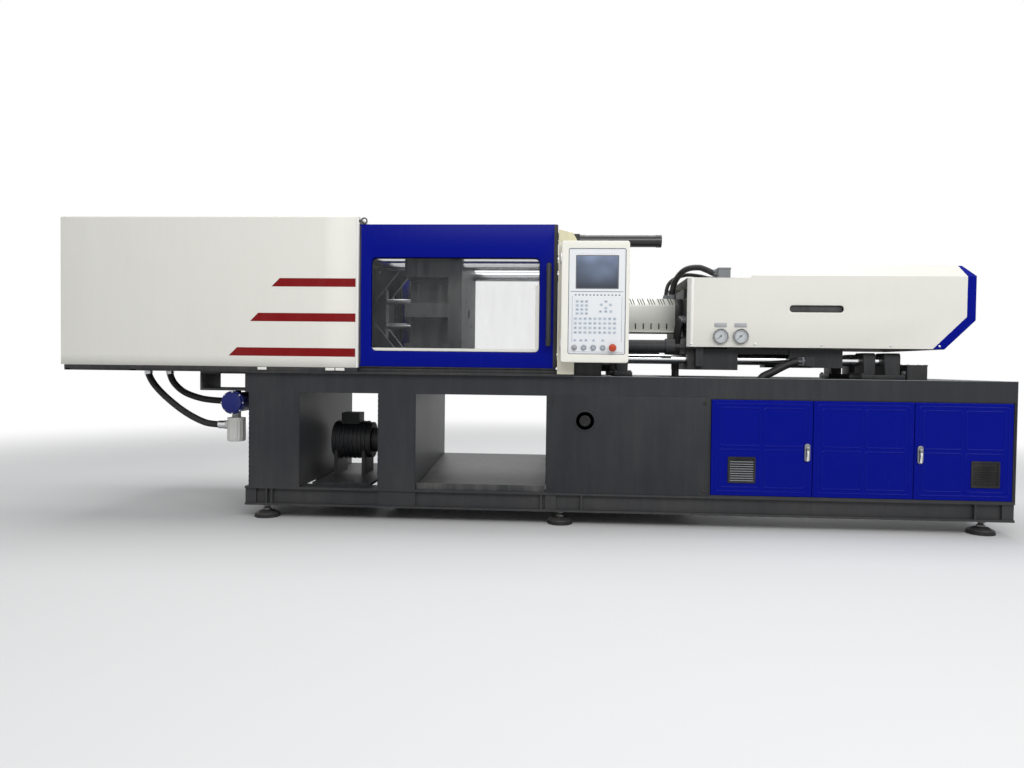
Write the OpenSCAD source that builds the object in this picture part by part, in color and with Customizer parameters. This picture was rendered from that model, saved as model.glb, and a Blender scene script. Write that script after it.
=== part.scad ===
// Horizontal toggle-clamp injection moulding machine.
// +X runs from the clamp to the injection end, +Y from the operator's side to the rear, +Z up.
// The floor is Z = 0, and the origin lies under the middle of the machine's overall box.

/* [Machine] */
// Overall length, from the clamp cover to the end of the bed
total_l = 5200; // [5160:5:5240]
// Height of the clamp and injection centreline above the floor
axis_z = 1185; // [1175:5:1215]

/* [Bed] */
// Length of the bed
bed_l = 4154; // [4120:10:4200]
// Width of the bed
bed_w = 1070; // [1040:10:1100]
// Height of the bed's top face
bed_top = 820; // [800:5:825]
// Height of the top beams
beam_h = 110; // [90:5:120]
// Height of the bottom channel
channel_h = 105; // [90:5:120]
// Height of the levelling feet, floor to channel
foot_h = 76; // [66:1:90]
// Diameter of a foot pad
foot_d = 142; // [110:1:150]
// Sheet thickness of the bed's boxes
bed_wall = 8; // [6:1:10]

/* [Clamp] */
// Clear spacing of the tie bars, both ways
tie_clear = 470; // [460:5:480]
// Diameter of a tie bar
tie_d = 80; // [72:1:84]
// Width and height of the platens
platen_s = 700; // [690:5:720]
// Thickness of the fixed platen
fixed_t = 190; // [180:5:200]
// Thickness of the moving platen
moving_t = 330; // [320:5:340]
// Thickness of the tail platen
tail_t = 200; // [190:5:210]
// Opening stroke
open_stroke = 430; // [400:5:440]
// Smallest mould height
mould_min = 180; // [170:5:200]
// Travel of the tail platen for higher moulds
mould_travel = 300; // [250:10:300]
// Length of a rear toggle link, between pins
rear_link_l = 258; // [256:1:260]
// Length of a front toggle link, between pins
front_link_l = 322; // [320:1:324]
// Height of the outer toggle pins over the centreline
toggle_z = 305; // [303:1:307]
// Diameter of the toggle pins
pin_d = 50; // [44:1:52]
// Bore of the clamp cylinder
clamp_bore = 110; // [100:5:120]
// Ejector stroke
eject_stroke = 140; // [100:5:140]

/* [Guards] */
// Width of the guards over both sides
guard_w = 1150; // [1140:5:1180]
// Length of the clamp cover
cover_l = 1693; // [1680:5:1710]
// Height of the clamp cover, from its lower edge to its roof
cover_h = 826; // [815:1:850]
// Length of a guard door
door_l = 1123; // [1110:1:1130]
// Height of a guard door
door_h = 777; // [760:1:785]
// Thickness of a guard door
door_t = 30; // [26:1:34]
// Travel of a guard door
door_travel = 900; // [800:10:900]
// Length of the window opening
window_l = 925; // [900:5:930]
// Height of the window opening
window_h = 513; // [490:1:520]
// Sheet thickness of the covers
sheet = 3; // [2:0.5:4]

/* [Operator panel] */
// Width of the panel housing
hmi_w = 355; // [345:1:365]
// Height of the panel housing
hmi_h = 636; // [620:1:650]
// Depth of the panel housing
hmi_t = 90; // [80:1:96]
// Travel of the push buttons
button_travel = 4; // [2:0.5:5]

/* [Injection] */
// Length of the injection cover
inj_l = 1555; // [1545:5:1575]
// Width of the injection cover
inj_w = 760; // [750:5:790]
// Height of the injection cover
inj_h = 464; // [458:1:480]
// Diameter of the guide rods
guide_d = 55; // [50:1:60]
// Outer diameter of the barrel
barrel_d = 105; // [100:1:110]
// Diameter of the screw
screw_d = 45; // [36:1:50]
// Injection stroke
inject_stroke = 200; // [180:5:220]
// Travel of the carriage
carriage_travel = 180; // [150:5:180]
// Width and height of the barrel guard
barrel_guard_s = 200; // [190:1:210]

/* [Hidden] */
$fn = 64;

// Fits: a rod or pin in its bore, a part beside its neighbour, and a soft line beside a solid
run_gap = 0.05;
seat_gap = 0.3;
side_gap = 4;

// Reach of the machine in front of its centreline and behind it, and so the centreline's own place
stop_reach = 35;
panel_gap = 15;
handle_reach = 45;
front_reach = guard_w / 2 + panel_gap + hmi_t + stop_reach;
rear_reach = guard_w / 2 + handle_reach;
axis_y = (front_reach - rear_reach) / 2;
x_left = -total_l / 2;
x_right = total_l / 2;

// Everything is drawn about the clamp's centreline and set in the part's frame here
module machine() {
    translate([0, axis_y, 0]) children();
}

// A mirrored pair, in front of the centreline and behind it
module both_sides() {
    children();
    mirror([0, 1, 0]) children();
}

// A block given by its lowest and highest corners
module block(low, high) {
    translate(low) cube(high - low);
}

// A cylinder along X from x0 to x1, about the line through y and z
module rod_x(d, x0, x1, y, z) {
    translate([x0, y, z]) rotate([0, 90, 0]) cylinder(d = d, h = x1 - x0);
}

// A cylinder along Y from y0 to y1, about the line through x and z
module rod_y(d, y0, y1, x, z) {
    translate([x, y1, z]) rotate([90, 0, 0]) cylinder(d = d, h = y1 - y0);
}

// A flat outline given in X and Z, carried along Y from y0 to y1
module wall_y(y0, y1) {
    translate([0, y1, 0]) rotate([90, 0, 0]) linear_extrude(y1 - y0) children();
}

// A flat outline given in Y and Z, carried along X from x0 to x1
module wall_x(x0, x1) {
    translate([x0, 0, 0]) rotate([90, 0, 90]) linear_extrude(x1 - x0) children();
}

// A rectangle with round corners, from its lowest corner
module round_rect(size, r) {
    translate([r, 0]) square([size[0] - 2 * r, size[1]]);
    translate([0, r]) square([size[0], size[1] - 2 * r]);
    for (x = [r, size[0] - r], y = [r, size[1] - r]) translate([x, y]) circle(r);
}

// A hose of 10 sides swept along a list of points
function unit(v) = v / norm(v);
function tangent(p, i) = unit(p[min(i + 1, len(p) - 1)] - p[max(i - 1, 0)]);
function side_way(t) = abs(t[2]) > 0.9 ? unit(cross(t, [1, 0, 0])) : unit(cross(t, [0, 0, 1]));
function side_ways(p, i = 0, way = undef, out = []) =
    i == len(p) ? out :
    let (t = tangent(p, i), w = is_undef(way) ? side_way(t) : unit(way - t * (way * t)))
    side_ways(p, i + 1, w, concat(out, [w]));
module hose(p, d) {
    sides = 10;
    ways = side_ways(p);
    points = [for (i = [0:len(p) - 1], k = [0:sides - 1])
        let (t = tangent(p, i), a = 360 * k / sides)
        p[i] + d / 2 * (cos(a) * ways[i] + sin(a) * cross(t, ways[i]))];
    walls = [for (i = [0:len(p) - 2], k = [0:sides - 1], half = [0, 1])
        let (a = i * sides + k, b = i * sides + (k + 1) % sides)
        half == 0 ? [a, b, b + sides] : [a, b + sides, a + sides]];
    last = (len(p) - 1) * sides;
    caps = [[for (k = [sides - 1:-1:0]) k], [for (k = [0:sides - 1]) last + k]];
    polyhedron(points, concat(walls, caps));
}
// A smooth curve through a few route points, with a number of steps between each two and straight ends
function spline(a, b, c, d, t) = 0.5 * (2 * b + (c - a) * t + (2 * a - 5 * b + 4 * c - d) * t * t
    + (3 * b - a - 3 * c + d) * t * t * t);
function route(p, steps) = concat([p[0]], [for (i = [1:len(p) - 3], s = [0:steps - 1])
    spline(p[i - 1], p[i], p[i + 1], p[i + 2], s / steps)], [p[len(p) - 2], p[len(p) - 1]]);

// Bed: its ends, its uprights and the openings between them
bed_x0 = x_right - bed_l;
bed_y = bed_w / 2;
channel_top = foot_h + channel_h;
beam_z = bed_top - beam_h;
post_inset = 23;
post1_x = [bed_x0 + post_inset, bed_x0 + post_inset + 288];
post2_x = [bed_x0 + 753, bed_x0 + 964];
panel_x = [bed_x0 + 1682, bed_x0 + 2563];
cabinet_x = [panel_x[1], x_right - 9];
rail_w = 130;
flange_t = 12;
stiffener_t = 10;
stiffener_x = [bed_x0 + 117, bed_x0 + 147, bed_x0 + 1655, bed_x0 + 1875, bed_x0 + 3950];
foot_x = [bed_x0 + 102, bed_x0 + 1764, bed_x0 + 4022];
foot_inset = 75;
foot_stud_d = 30;
bundle_slot_x = [bed_x0 + 2334, bed_x0 + 2794];
bundle_slot_y = [-190, 190];
drain_slot_x = [bed_x0 + 2760, bed_x0 + 3040];
drain_slot_y = [-369, -299];

// One C-shaped side channel of the bed's foot, its web set back from the flanges
module side_channel() {
    web_back = 25;
    block([bed_x0, -bed_y, foot_h], [x_right, -bed_y + rail_w, foot_h + flange_t]);
    block([bed_x0, -bed_y, channel_top - flange_t], [x_right, -bed_y + rail_w, channel_top]);
    block([bed_x0, -bed_y + web_back, foot_h], [x_right, -bed_y + web_back + flange_t, channel_top]);
    for (x = stiffener_x) block([x, -bed_y + 3, foot_h], [x + stiffener_t, -bed_y + web_back + 1, channel_top]);
}

// A hollow upright box right across the bed, open below and above
module cross_box(x) {
    difference() {
        block([x[0], -bed_y, channel_top - 1], [x[1], bed_y, beam_z + 1]);
        block([x[0] + bed_wall, -bed_y + bed_wall, channel_top - 2],
            [x[1] - bed_wall, bed_y - bed_wall, beam_z + 2]);
    }
}

cross_tie_w = 140;
end_tie_w = 100;
foot_beam_w = 60;
module bed_frame() {
    color("#2d2f31") machine() difference() {
        union() {
            both_sides() side_channel();
            both_sides() block([bed_x0, -bed_y, beam_z], [x_right, -bed_y + rail_w, bed_top]);
            for (x = [[bed_x0, post1_x[1]], post2_x, [panel_x[0], panel_x[0] + cross_tie_w],
                [x_right - end_tie_w, x_right]])
                block([x[0], -bed_y, beam_z], [x[1], bed_y, bed_top]);
            for (x = [[bed_x0, bed_x0 + foot_beam_w], [post2_x[0], post2_x[1]],
                [panel_x[0], panel_x[0] + foot_beam_w], [x_right - foot_beam_w, x_right]])
                block([x[0], -bed_y + 10, foot_h], [x[1], bed_y - 10, channel_top]);
            cross_box(post1_x);
            cross_box(post2_x);
            block([panel_x[0], -bed_y + 20, channel_top - 1], [panel_x[0] + bed_wall, bed_y - 20, beam_z + 1]);
            block([panel_x[0], -bed_y + 20, bed_top - flange_t], [x_right, bed_y - 20, bed_top]);
            block([x_right - bed_wall, -bed_y, channel_top - 1], [x_right, bed_y, beam_z + 1]);
        }
        block([bundle_slot_x[0], bundle_slot_y[0], bed_top - 2 * flange_t],
            [bundle_slot_x[1], bundle_slot_y[1], bed_top + 1]);
        block([drain_slot_x[0], drain_slot_y[0], bed_top - 2 * flange_t],
            [drain_slot_x[1], drain_slot_y[1], bed_top + 1]);
    }
}

// Grey panel on four corner screws, with a round port to the tank's filter
panel_t = 3;
port_d = 96;
port_ring_d = 116;
port_x = panel_x[0] + 211;
port_z = 577;
module access_panel() {
    screw_in = 28;
    color("#3a3c3e") machine() {
        difference() {
            union() {
                block([panel_x[0] + side_gap, -bed_y - panel_t, channel_top],
                    [panel_x[1] - side_gap, -bed_y, beam_z + 6]);
                rod_y(port_ring_d, -bed_y - panel_t - 4, -bed_y - 1, port_x, port_z);
            }
            rod_y(port_d, -bed_y - 20, -bed_y + 10, port_x, port_z);
        }
        for (x = [panel_x[0] + screw_in, panel_x[1] - screw_in], z = [channel_top + screw_in, beam_z - screw_in])
            rod_y(16, -bed_y - panel_t - 7, -bed_y - panel_t, x, z);
    }
}

// Rubber-soled machine mounts: a pad, a domed cap, the stud and its two nuts
module levelling_feet() {
    pad_h = 38;
    nut_h = 16;
    color("#26272a") machine() both_sides() for (x = foot_x) translate([x, -bed_y + foot_inset, 0]) {
        cylinder(d1 = foot_d, d2 = foot_d - 16, h = pad_h - 14);
        translate([0, 0, pad_h - 14.5]) cylinder(d = foot_d - 30, h = 14.5);
        translate([0, 0, pad_h - 1]) cylinder(d = foot_stud_d, h = foot_h - pad_h + 1);
        translate([0, 0, foot_h - nut_h]) cylinder(d = 46, h = nut_h, $fn = 6);
    }
}

// Sloped sheet that lets the moulded parts slide out under the mould
module drop_chute() {
    low = channel_top + 12;
    rise = 70;
    color("#34363a") machine() wall_x(post2_x[1] + 2, panel_x[0] - 2)
        polygon([[-bed_y + 30, low], [bed_y - 30, low + rise], [bed_y - 30, low + rise + sheet + 1],
            [-bed_y + 30, low + sheet + 1], [-bed_y + 26, low + 22], [-bed_y + 22, low + 22],
            [-bed_y + 22, channel_top], [-bed_y + 30, channel_top]]);
}

// Oil tank with its lid, filler and the suction filter behind the port
module oil_tank() {
    tank_x = [panel_x[0] + 20, panel_x[1] - 10];
    tank_z = [channel_top + seat_gap, beam_z - 30];
    filter_reach = 12;
    color("#33363a") machine() {
        difference() {
            block([tank_x[0], -bed_y + 60, tank_z[0]], [tank_x[1], bed_y - 40, tank_z[1]]);
            block([tank_x[0] + 5, -bed_y + 65, tank_z[0] + 5], [tank_x[1] - 5, bed_y - 45, tank_z[1] - 5]);
        }
        rod_y(port_d - 20, -bed_y + filter_reach, -bed_y + 61, port_x, port_z);
        rod_y(22, -bed_y + 4, -bed_y + filter_reach + 1, port_x, port_z);
    }
}

// Servo motor, its coupling bell and the gear pump on a cradle in the left bay
module pump_unit() {
    x0 = post1_x[1] + 40;
    pump_z = 400;
    color("#3d4146") machine() {
        block([x0, -bed_y + rail_w - 25, channel_top], [x0 + 340, bed_y - rail_w + 25, channel_top + 14]);
        for (x = [x0 + 30, x0 + 200]) block([x, -110, channel_top + 13], [x + 20, 110, pump_z - 60]);
        rod_x(220, x0 + 10, x0 + 250, 0, pump_z);
        for (i = [0:7]) rod_x(236, x0 + 26 + 26 * i, x0 + 36 + 26 * i, 0, pump_z);
        rod_x(150, x0 + 249, x0 + 300, 0, pump_z);
        rod_x(110, x0 + 299, x0 + 372, 0, pump_z);
        block([x0 + 60, -60, pump_z + 100], [x0 + 170, 60, pump_z + 170]);
    }
}

// Shell-and-tube cooler below the clamp's overhang, hung from a bracket on the bed's left end
overhang_l = bed_x0 - x_left;
member_x = x_left + round(0.3825 * overhang_l);
cooler_d = 112;
cooler_gap = 98;
filter_gap = 107;
hose_end_gap = 168;
cooler_z = 644;
cooler_x = bed_x0 - cooler_gap;
cooler_hose_y = -280;
filter_x = bed_x0 - filter_gap;
filter_y = -400;
filter_hose_z = 512;
hose_end_x = bed_x0 - hose_end_gap;
bracket_in = 60;
bracket_w = 240;
module oil_cooler() {
    bracket_x = bed_x0 - round(0.2753 * overhang_l);
    bracket_y = [-bed_y + bracket_in, -bed_y + bracket_in + bracket_w];
    bracket_low = 712;
    wall = 12;
    color("#2c2f33") machine() difference() {
        block([bracket_x, bracket_y[0], bracket_low], [bed_x0, bracket_y[1], bed_top]);
        block([bracket_x + wall, bracket_y[0] - 1, bracket_low + wall],
            [bed_x0 - wall, bracket_y[1] + 1, bed_top - wall]);
    }
    color("#2146a0") machine() {
        rod_y(cooler_d, -bed_y + 40, bed_y - 120, cooler_x, cooler_z);
        for (y = [-bed_y + 40, bed_y - 140]) rod_y(cooler_d + 20, y, y + 20, cooler_x, cooler_z);
        block([cooler_x - 14, -bed_y + 120, cooler_z], [cooler_x + 14, -bed_y + 150, bracket_low + 1]);
        block([cooler_x, bed_y - 220, cooler_z - 30], [bed_x0, bed_y - 190, cooler_z + 10]);
        rod_x(50, hose_end_x, cooler_x, cooler_hose_y, cooler_z);
    }
    color("#d9d7cf") machine() {
        translate([filter_x, filter_y, 419]) cylinder(d = 102, h = 137);
        translate([filter_x, filter_y, 555]) cylinder(d = 50, h = 40);
        rod_x(44, hose_end_x, filter_x, filter_y, filter_hose_z);
    }
}

// Two rubber hoses from the clamp's manifold down to the filter and the cooler
hose_d = 38;
manifold_low = bed_top + 9.5;
manifold_h = 60.5;
manifold_l = 130;
manifold_w = 150;
manifold_back = 45;
manifold_y = -365;
function hose_x(part) = member_x + part * (hose_end_x - member_x);
hose_a = [[member_x - 25, -330, manifold_low - seat_gap], [member_x - 25, -330, 800], [hose_x(0.02), -334, 740],
    [hose_x(0.18), -340, 665], [hose_x(0.44), -360, 580], [hose_x(0.71), -385, 524],
    [hose_end_x - 40, filter_y, filter_hose_z], [hose_end_x - seat_gap, filter_y, filter_hose_z]];
hose_b = [[member_x + 63, -250, manifold_low - seat_gap], [member_x + 63, -250, 800], [hose_x(0.19), -255, 745],
    [hose_x(0.335), -262, 690], [hose_x(0.565), -272, 655], [hose_x(0.795), -278, cooler_z],
    [hose_end_x - 40, cooler_hose_y, cooler_z], [hose_end_x - seat_gap, cooler_hose_y, cooler_z]];
module clamp_hoses() {
    color("#17181a") machine() {
        hose(route(hose_a, 3), hose_d);
        hose(route(hose_b, 3), hose_d);
    }
}

// Cabinet: steel box in the bed, open at the operator's side
door_sheet_t = 24;
cabinet_z = [channel_top, beam_z];
cabinet_y = [-bed_y + 2, -bed_y + 330];
left_door_w = 544;
middle_w = 525;
cabinet_split = [cabinet_x[0] + left_door_w, cabinet_x[0] + left_door_w + middle_w];
grille_w = 144;
grille_z = 260;
grille_in = [171, 147];
hinge_d = 8;
hinge_in = 8;
door_gap = 9;
module cabinet_shell() {
    wall = 5;
    jamb = 18;
    color("#c9c8be") machine() {
        difference() {
            block([cabinet_x[0] + seat_gap, cabinet_y[0], cabinet_z[0]],
                [cabinet_x[1] - seat_gap, cabinet_y[1], cabinet_z[1]]);
            block([cabinet_x[0] + wall, cabinet_y[0] - 1, cabinet_z[0] + wall],
                [cabinet_x[1] - wall, cabinet_y[1] - wall, cabinet_z[1] - wall]);
        }
        for (x = cabinet_split)
            block([x - jamb, cabinet_y[0] + door_sheet_t + 6, cabinet_z[0] + wall - 1],
                [x + jamb, cabinet_y[0] + door_sheet_t + 12, cabinet_z[1] - wall + 1]);
        for (x = [cabinet_x[0] + door_gap + hinge_in, cabinet_x[1] - door_gap - hinge_in],
            z = [cabinet_z[0] + wall - 1, cabinet_z[1] - wall - 31])
            translate([x, -bed_y + hinge_in, z]) cylinder(d = hinge_d, h = 32);
    }
}

// A pressed sheet door: a tray with four raised fields, its face just proud of the bed
latch_x = [cabinet_split[0] - 30, cabinet_split[1] + 30];
latch_z = 444;
latch_hole_d = 26;
module tray_door(x0, x1, hinge_x, grille_x) {
    z0 = cabinet_z[0] + side_gap + 3;
    z1 = cabinet_z[1] - side_gap - 3;
    field_gap = 36;
    field_w = (x1 - x0 - 3 * field_gap) / 2;
    field_h = (z1 - z0 - 3 * field_gap) / 2;
    difference() {
        union() {
            difference() {
                block([x0, -bed_y, z0], [x1, -bed_y + door_sheet_t, z1]);
                block([x0 + sheet, -bed_y + sheet, z0 + sheet],
                    [x1 - sheet, -bed_y + door_sheet_t + 1, z1 - sheet]);
            }
            for (i = [0, 1], j = [0, 1])
                translate([x0 + field_gap + i * (field_w + field_gap), -bed_y + 1,
                    z0 + field_gap + j * (field_h + field_gap)])
                rotate([90, 0, 0]) linear_extrude(4) round_rect([field_w, field_h], 12);
            for (z = [z0, z1 - 26])
                translate([hinge_x, -bed_y + hinge_in, z]) cylinder(d = 2 * hinge_in - 1, h = 26);
        }
        for (z = [z0 - 1, z1 - 27])
            translate([hinge_x, -bed_y + hinge_in, z]) cylinder(d = hinge_d + 2 * run_gap, h = 28);
        for (x = latch_x) rod_y(latch_hole_d, -bed_y - 10, -bed_y + 30, x, latch_z);
        for (i = [0:7])
            block([grille_x - grille_w / 2, -bed_y - 5, grille_z + 18 * i],
                [grille_x + grille_w / 2, -bed_y + 4, grille_z + 18 * i + 8]);
    }
}
door_left_x = [cabinet_x[0] + door_gap, cabinet_split[0] - 2];
door_right_x = [cabinet_split[1] + 2, cabinet_x[1] - door_gap];
module cabinet_door_left() {
    color("#16229a") machine()
        tray_door(door_left_x[0], door_left_x[1], door_left_x[0] + hinge_in, cabinet_x[0] + grille_in[0]);
}
module cabinet_door_right() {
    color("#16229a") machine()
        tray_door(door_right_x[0], door_right_x[1], door_right_x[1] - hinge_in, cabinet_x[1] - grille_in[1]);
}
module cabinet_middle_panel() {
    x0 = cabinet_split[0] + 2;
    x1 = cabinet_split[1] - 2;
    field_gap = 30;
    field_w = (x1 - x0 - 3 * field_gap) / 2;
    field_h = (cabinet_z[1] - cabinet_z[0] - 119) / 2;
    color("#16229a") machine() {
        block([x0, -bed_y, cabinet_z[0] + 7], [x1, -bed_y + sheet, cabinet_z[1] - 7]);
        for (x = [x0 + 4, x1 - 4 - sheet])
            block([x, -bed_y + sheet - 1, cabinet_z[0] + 7], [x + sheet, cabinet_y[0] + door_sheet_t + 6,
                cabinet_z[1] - 7]);
        for (i = [0, 1], j = [0, 1])
            translate([x0 + field_gap + i * (field_w + field_gap), -bed_y + 1,
                cabinet_z[0] + 42 + j * (field_h + 31)])
            rotate([90, 0, 0]) linear_extrude(4) round_rect([field_w, field_h], 12);
    }
}

// Swing latch: a round spindle through the door with a lever outside and a tongue inside
module latch(x, way) {
    rod_y(latch_hole_d - 2 * run_gap, -bed_y - 8, -bed_y + 20, x, latch_z);
    wall_y(-bed_y - 22, -bed_y - 7) translate([x - 13, latch_z - 62]) round_rect([26, 88], 12);
    block([min(x, x + 34 * way), -bed_y + 10, latch_z - 9], [max(x, x + 34 * way), -bed_y + 16, latch_z + 9]);
}
module latch_left() {
    color("#c9ccd0") machine() latch(latch_x[0], 0.6);
}
module latch_right() {
    color("#c9ccd0") machine() latch(latch_x[1], -0.6);
}

// Control gear on its mounting plate: drive, contactor rows, wiring ducts and transformer
module control_gear() {
    plate_y = cabinet_y[1] - 12;
    plate_in = 60;
    x0 = cabinet_x[0] + plate_in;
    gear_top = cabinet_z[1] - plate_in;
    drive_w = 220;
    drive_z = [260, 620];
    fin_pitch = 18;
    color("#b8bcc0") machine() {
        block([x0, plate_y, cabinet_z[0] + 5], [cabinet_x[1] - plate_in, plate_y + 7 - seat_gap, gear_top + 20]);
        block([x0 + plate_in, plate_y - 190, drive_z[0]], [x0 + plate_in + drive_w, plate_y + 1, drive_z[1]]);
        for (i = [0:10])
            block([x0 + plate_in + 10 + fin_pitch * i, plate_y - 198, drive_z[0] + 20],
                [x0 + plate_in + 18 + fin_pitch * i, plate_y - 189, drive_z[1] - 20]);
        for (i = [0:7], j = [0, 1])
            block([x0 + 330 + 58 * i, plate_y - 85, 470 - 170 * j],
                [x0 + 380 + 58 * i, plate_y + 1, 560 - 170 * j]);
        for (z = [420, 590, 240]) block([x0 + 320, plate_y - 60, z], [x0 + 810, plate_y + 1, z + 34]);
        block([x0 + 900, plate_y - 160, cabinet_z[0] + 5], [x0 + 1100, plate_y + 1, 340]);
        block([x0 + 900, plate_y - 120, 400], [x0 + 1300, plate_y + 1, 560]);
    }
}

// Clamp: where the platens stand along X
tie_pitch = tie_clear + tie_d;
tie_at = tie_pitch / 2;
fixed_x = bed_x0 + 1799;
fixed_back = fixed_x + fixed_t;
moving_x = fixed_x - mould_min - open_stroke;
moving_back = moving_x - moving_t;
ear_reach = 80;
tail_ear_reach = 120;
toggle_open = rear_link_l + front_link_l - open_stroke;
front_pin_x = moving_back - ear_reach;
tail_pin_x = front_pin_x - toggle_open;
tail_x = tail_pin_x - tail_ear_reach;
tail_back = tail_x - tail_t;
platen_z0 = axis_z - platen_s / 2;
slide_foot_y = 330;
slide_foot_w = 150;
nozzle_bore_d = 126;
ring_d = 125;
bolt_pitch = 280;
bolt_d = 16;

// Bores for the four tie bars, wide enough for them to slide
module tie_bores(x0, x1, gap) {
    for (y = [-tie_at, tie_at], z = [axis_z - tie_at, axis_z + tie_at])
        rod_x(tie_d + 2 * gap, x0 - 1, x1 + 1, y, z);
}

// Threaded holes in a mould face, in four corner groups
module mould_holes(x, depth) {
    for (y = [-bolt_pitch / 2, bolt_pitch / 2], z = [-bolt_pitch / 2, bolt_pitch / 2])
        rod_x(bolt_d, x - depth, x + depth, y, axis_z + z);
    for (y = [-bolt_pitch / 2, bolt_pitch / 2], z = [-bolt_pitch / 4, bolt_pitch / 4])
        rod_x(bolt_d, x - depth, x + depth, y, axis_z + z);
}

// Outline of a platen in Y and Z: a square with cut corners
module platen_outline(cut) {
    s = platen_s / 2;
    translate([0, axis_z]) polygon([[-s + cut, -s], [s - cut, -s], [s, -s + cut], [s, s - cut], [s - cut, s],
        [-s + cut, s], [-s, s - cut], [-s, -s + cut]]);
}

// Bracket on a platen's top face for the safety bar
safety_d = 36;
safety_y = -180;
safety_z = platen_z0 + platen_s + 74;
safety_fixed_x = [fixed_x + 20, fixed_x + 60];
safety_moving_x = [moving_x - 75, moving_x - 5];
module safety_bracket(x) {
    half = 36;
    block([x[0], safety_y - half, platen_z0 + platen_s - 1], [x[1], safety_y + half, safety_z + half]);
}

module fixed_platen() {
    color("#4a4d52") machine() difference() {
        union() {
            wall_x(fixed_x, fixed_back) platen_outline(40);
            both_sides() block([fixed_x + 10, -bed_y + 30, bed_top], [fixed_back - 10, -slide_foot_y + 120,
                platen_z0 + 60]);
            safety_bracket(safety_fixed_x);
        }
        tie_bores(fixed_x, fixed_back, run_gap);
        rod_x(ring_d, fixed_x - 1, fixed_x + 26, 0, axis_z);
        rod_x(nozzle_bore_d - 16, fixed_x - 1, fixed_back + 1, 0, axis_z);
        translate([fixed_x + 70, 0, axis_z]) rotate([0, 90, 0]) cylinder(d1 = 110, d2 = 280, h = fixed_t - 69);
        mould_holes(fixed_x, 40);
        rod_x(safety_d + 8, safety_fixed_x[0] - 1, safety_fixed_x[1] + 1, safety_y, safety_z);
    }
}

tie_nut_d = 138;
module tie_bars() {
    end_x = tail_back - 130 - mould_travel;
    color("#d5d8dc") machine() for (y = [-tie_at, tie_at], z = [axis_z - tie_at, axis_z + tie_at])
        rod_x(tie_d, end_x, fixed_back + 62, y, z);
    color("#3b3e43") machine() for (y = [-tie_at, tie_at], z = [axis_z - tie_at, axis_z + tie_at])
        difference() {
            translate([fixed_back, y, z]) rotate([0, 90, 0]) cylinder(d = tie_nut_d, h = 55, $fn = 8);
            rod_x(tie_d + 2 * run_gap, fixed_back - 1, fixed_back + 60, y, z);
        }
}

// A pair of pin lugs of one toggle pin, either side of a link plate, for the upper or lower toggle
lug_r = 50;
module lugs(x_face, x_pin, y_pairs, side) {
    z = axis_z + side * toggle_z;
    for (ys = y_pairs, m = [0, 1]) mirror([0, m, 0]) {
        block([min(x_face, x_pin), ys[0], z - lug_r], [max(x_face, x_pin), ys[1], z + lug_r]);
        rod_y(2 * lug_r, ys[0], ys[1], x_pin, z);
    }
}
rear_y = [82, 120];
front_y = [126, 164];
cross_y = [42, 72];
lug_gap = 2;
tail_lugs = [[62, rear_y[0] - lug_gap], [rear_y[1] + lug_gap, 142]];
front_lugs = [[104, front_y[0] - lug_gap], [front_y[1] + lug_gap, 186]];

pocket_depth = 95;
module moving_platen() {
    face_t = 80;
    x0 = moving_back;
    window_y = 100;
    window_z = 150;
    color("#43464b") machine() difference() {
        union() {
            wall_x(moving_x - face_t, moving_x) platen_outline(40);
            wall_x(x0, moving_x - face_t + 1) difference() {
                platen_outline(60);
                for (m = [0, 1]) mirror([m, 0]) {
                    for (z = [-1, 1]) translate([platen_s / 2 - 170, axis_z + (z > 0 ? 40 : -190)])
                        square([171, 150]);
                }
            }
            for (s = [-1, 1]) lugs(x0 + 1, front_pin_x, front_lugs, s);
            both_sides() block([x0 + 20, -slide_foot_y - slide_foot_w / 2, bed_top],
                [moving_x - 20, -slide_foot_y + slide_foot_w / 2, platen_z0 + 70]);
            safety_bracket(safety_moving_x);
        }
        tie_bores(x0, moving_x, run_gap);
        block([x0 - 1, -window_y, axis_z - window_z], [moving_x - face_t - 40, window_y, axis_z + window_z]);
        rod_x(eject_d + 20, moving_x - face_t - 50, moving_x + 1, 0, axis_z);
        mould_holes(moving_x, 40);
        rod_x(safety_d + 2 * run_gap, safety_moving_x[0] + 10, safety_moving_x[1] + 1, safety_y, safety_z);
        for (m = [0, 1]) mirror([0, m, 0]) for (z = [-1, 1])
            block([x0 + 45, platen_s / 2 - 40 - pocket_depth, axis_z + (z > 0 ? 40 : -190)],
                [moving_x - face_t - 45, platen_s / 2 + 1, axis_z + (z > 0 ? 190 : -40)]);
        for (s = [-1, 1]) rod_y(pin_d + 2 * run_gap, -190, 190, front_pin_x, axis_z + s * toggle_z);
    }
}

cylinder_d = 170;
cylinder_l = 560;
module tail_platen() {
    color("#43464b") machine() difference() {
        union() {
            wall_x(tail_back, tail_x) platen_outline(60);
            for (s = [-1, 1]) lugs(tail_x - 1, tail_pin_x, tail_lugs, s);
            both_sides() block([tail_back + 10, -slide_foot_y - slide_foot_w / 2, bed_top],
                [tail_x - 10, -slide_foot_y + slide_foot_w / 2, platen_z0 + 70]);
        }
        tie_bores(tail_back, tail_x, run_gap);
        rod_x(rod_d + 20, tail_back - 1, tail_x + 1, 0, axis_z);
        for (z = [-guide_pin_z, guide_pin_z]) rod_x(guide_pin_d + 2 * run_gap, tail_x - 60, tail_x + 1, 0, axis_z + z);
        for (s = [-1, 1]) rod_y(pin_d + 2 * run_gap, -145, 145, tail_pin_x, axis_z + s * toggle_z);
        for (m = [0, 1]) mirror([0, m, 0])
            block([tail_back + 45, platen_s / 2 - pocket_depth, axis_z - 170],
                [tail_x - 45, platen_s / 2 + 1, axis_z + 170]);
    }
}

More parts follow.
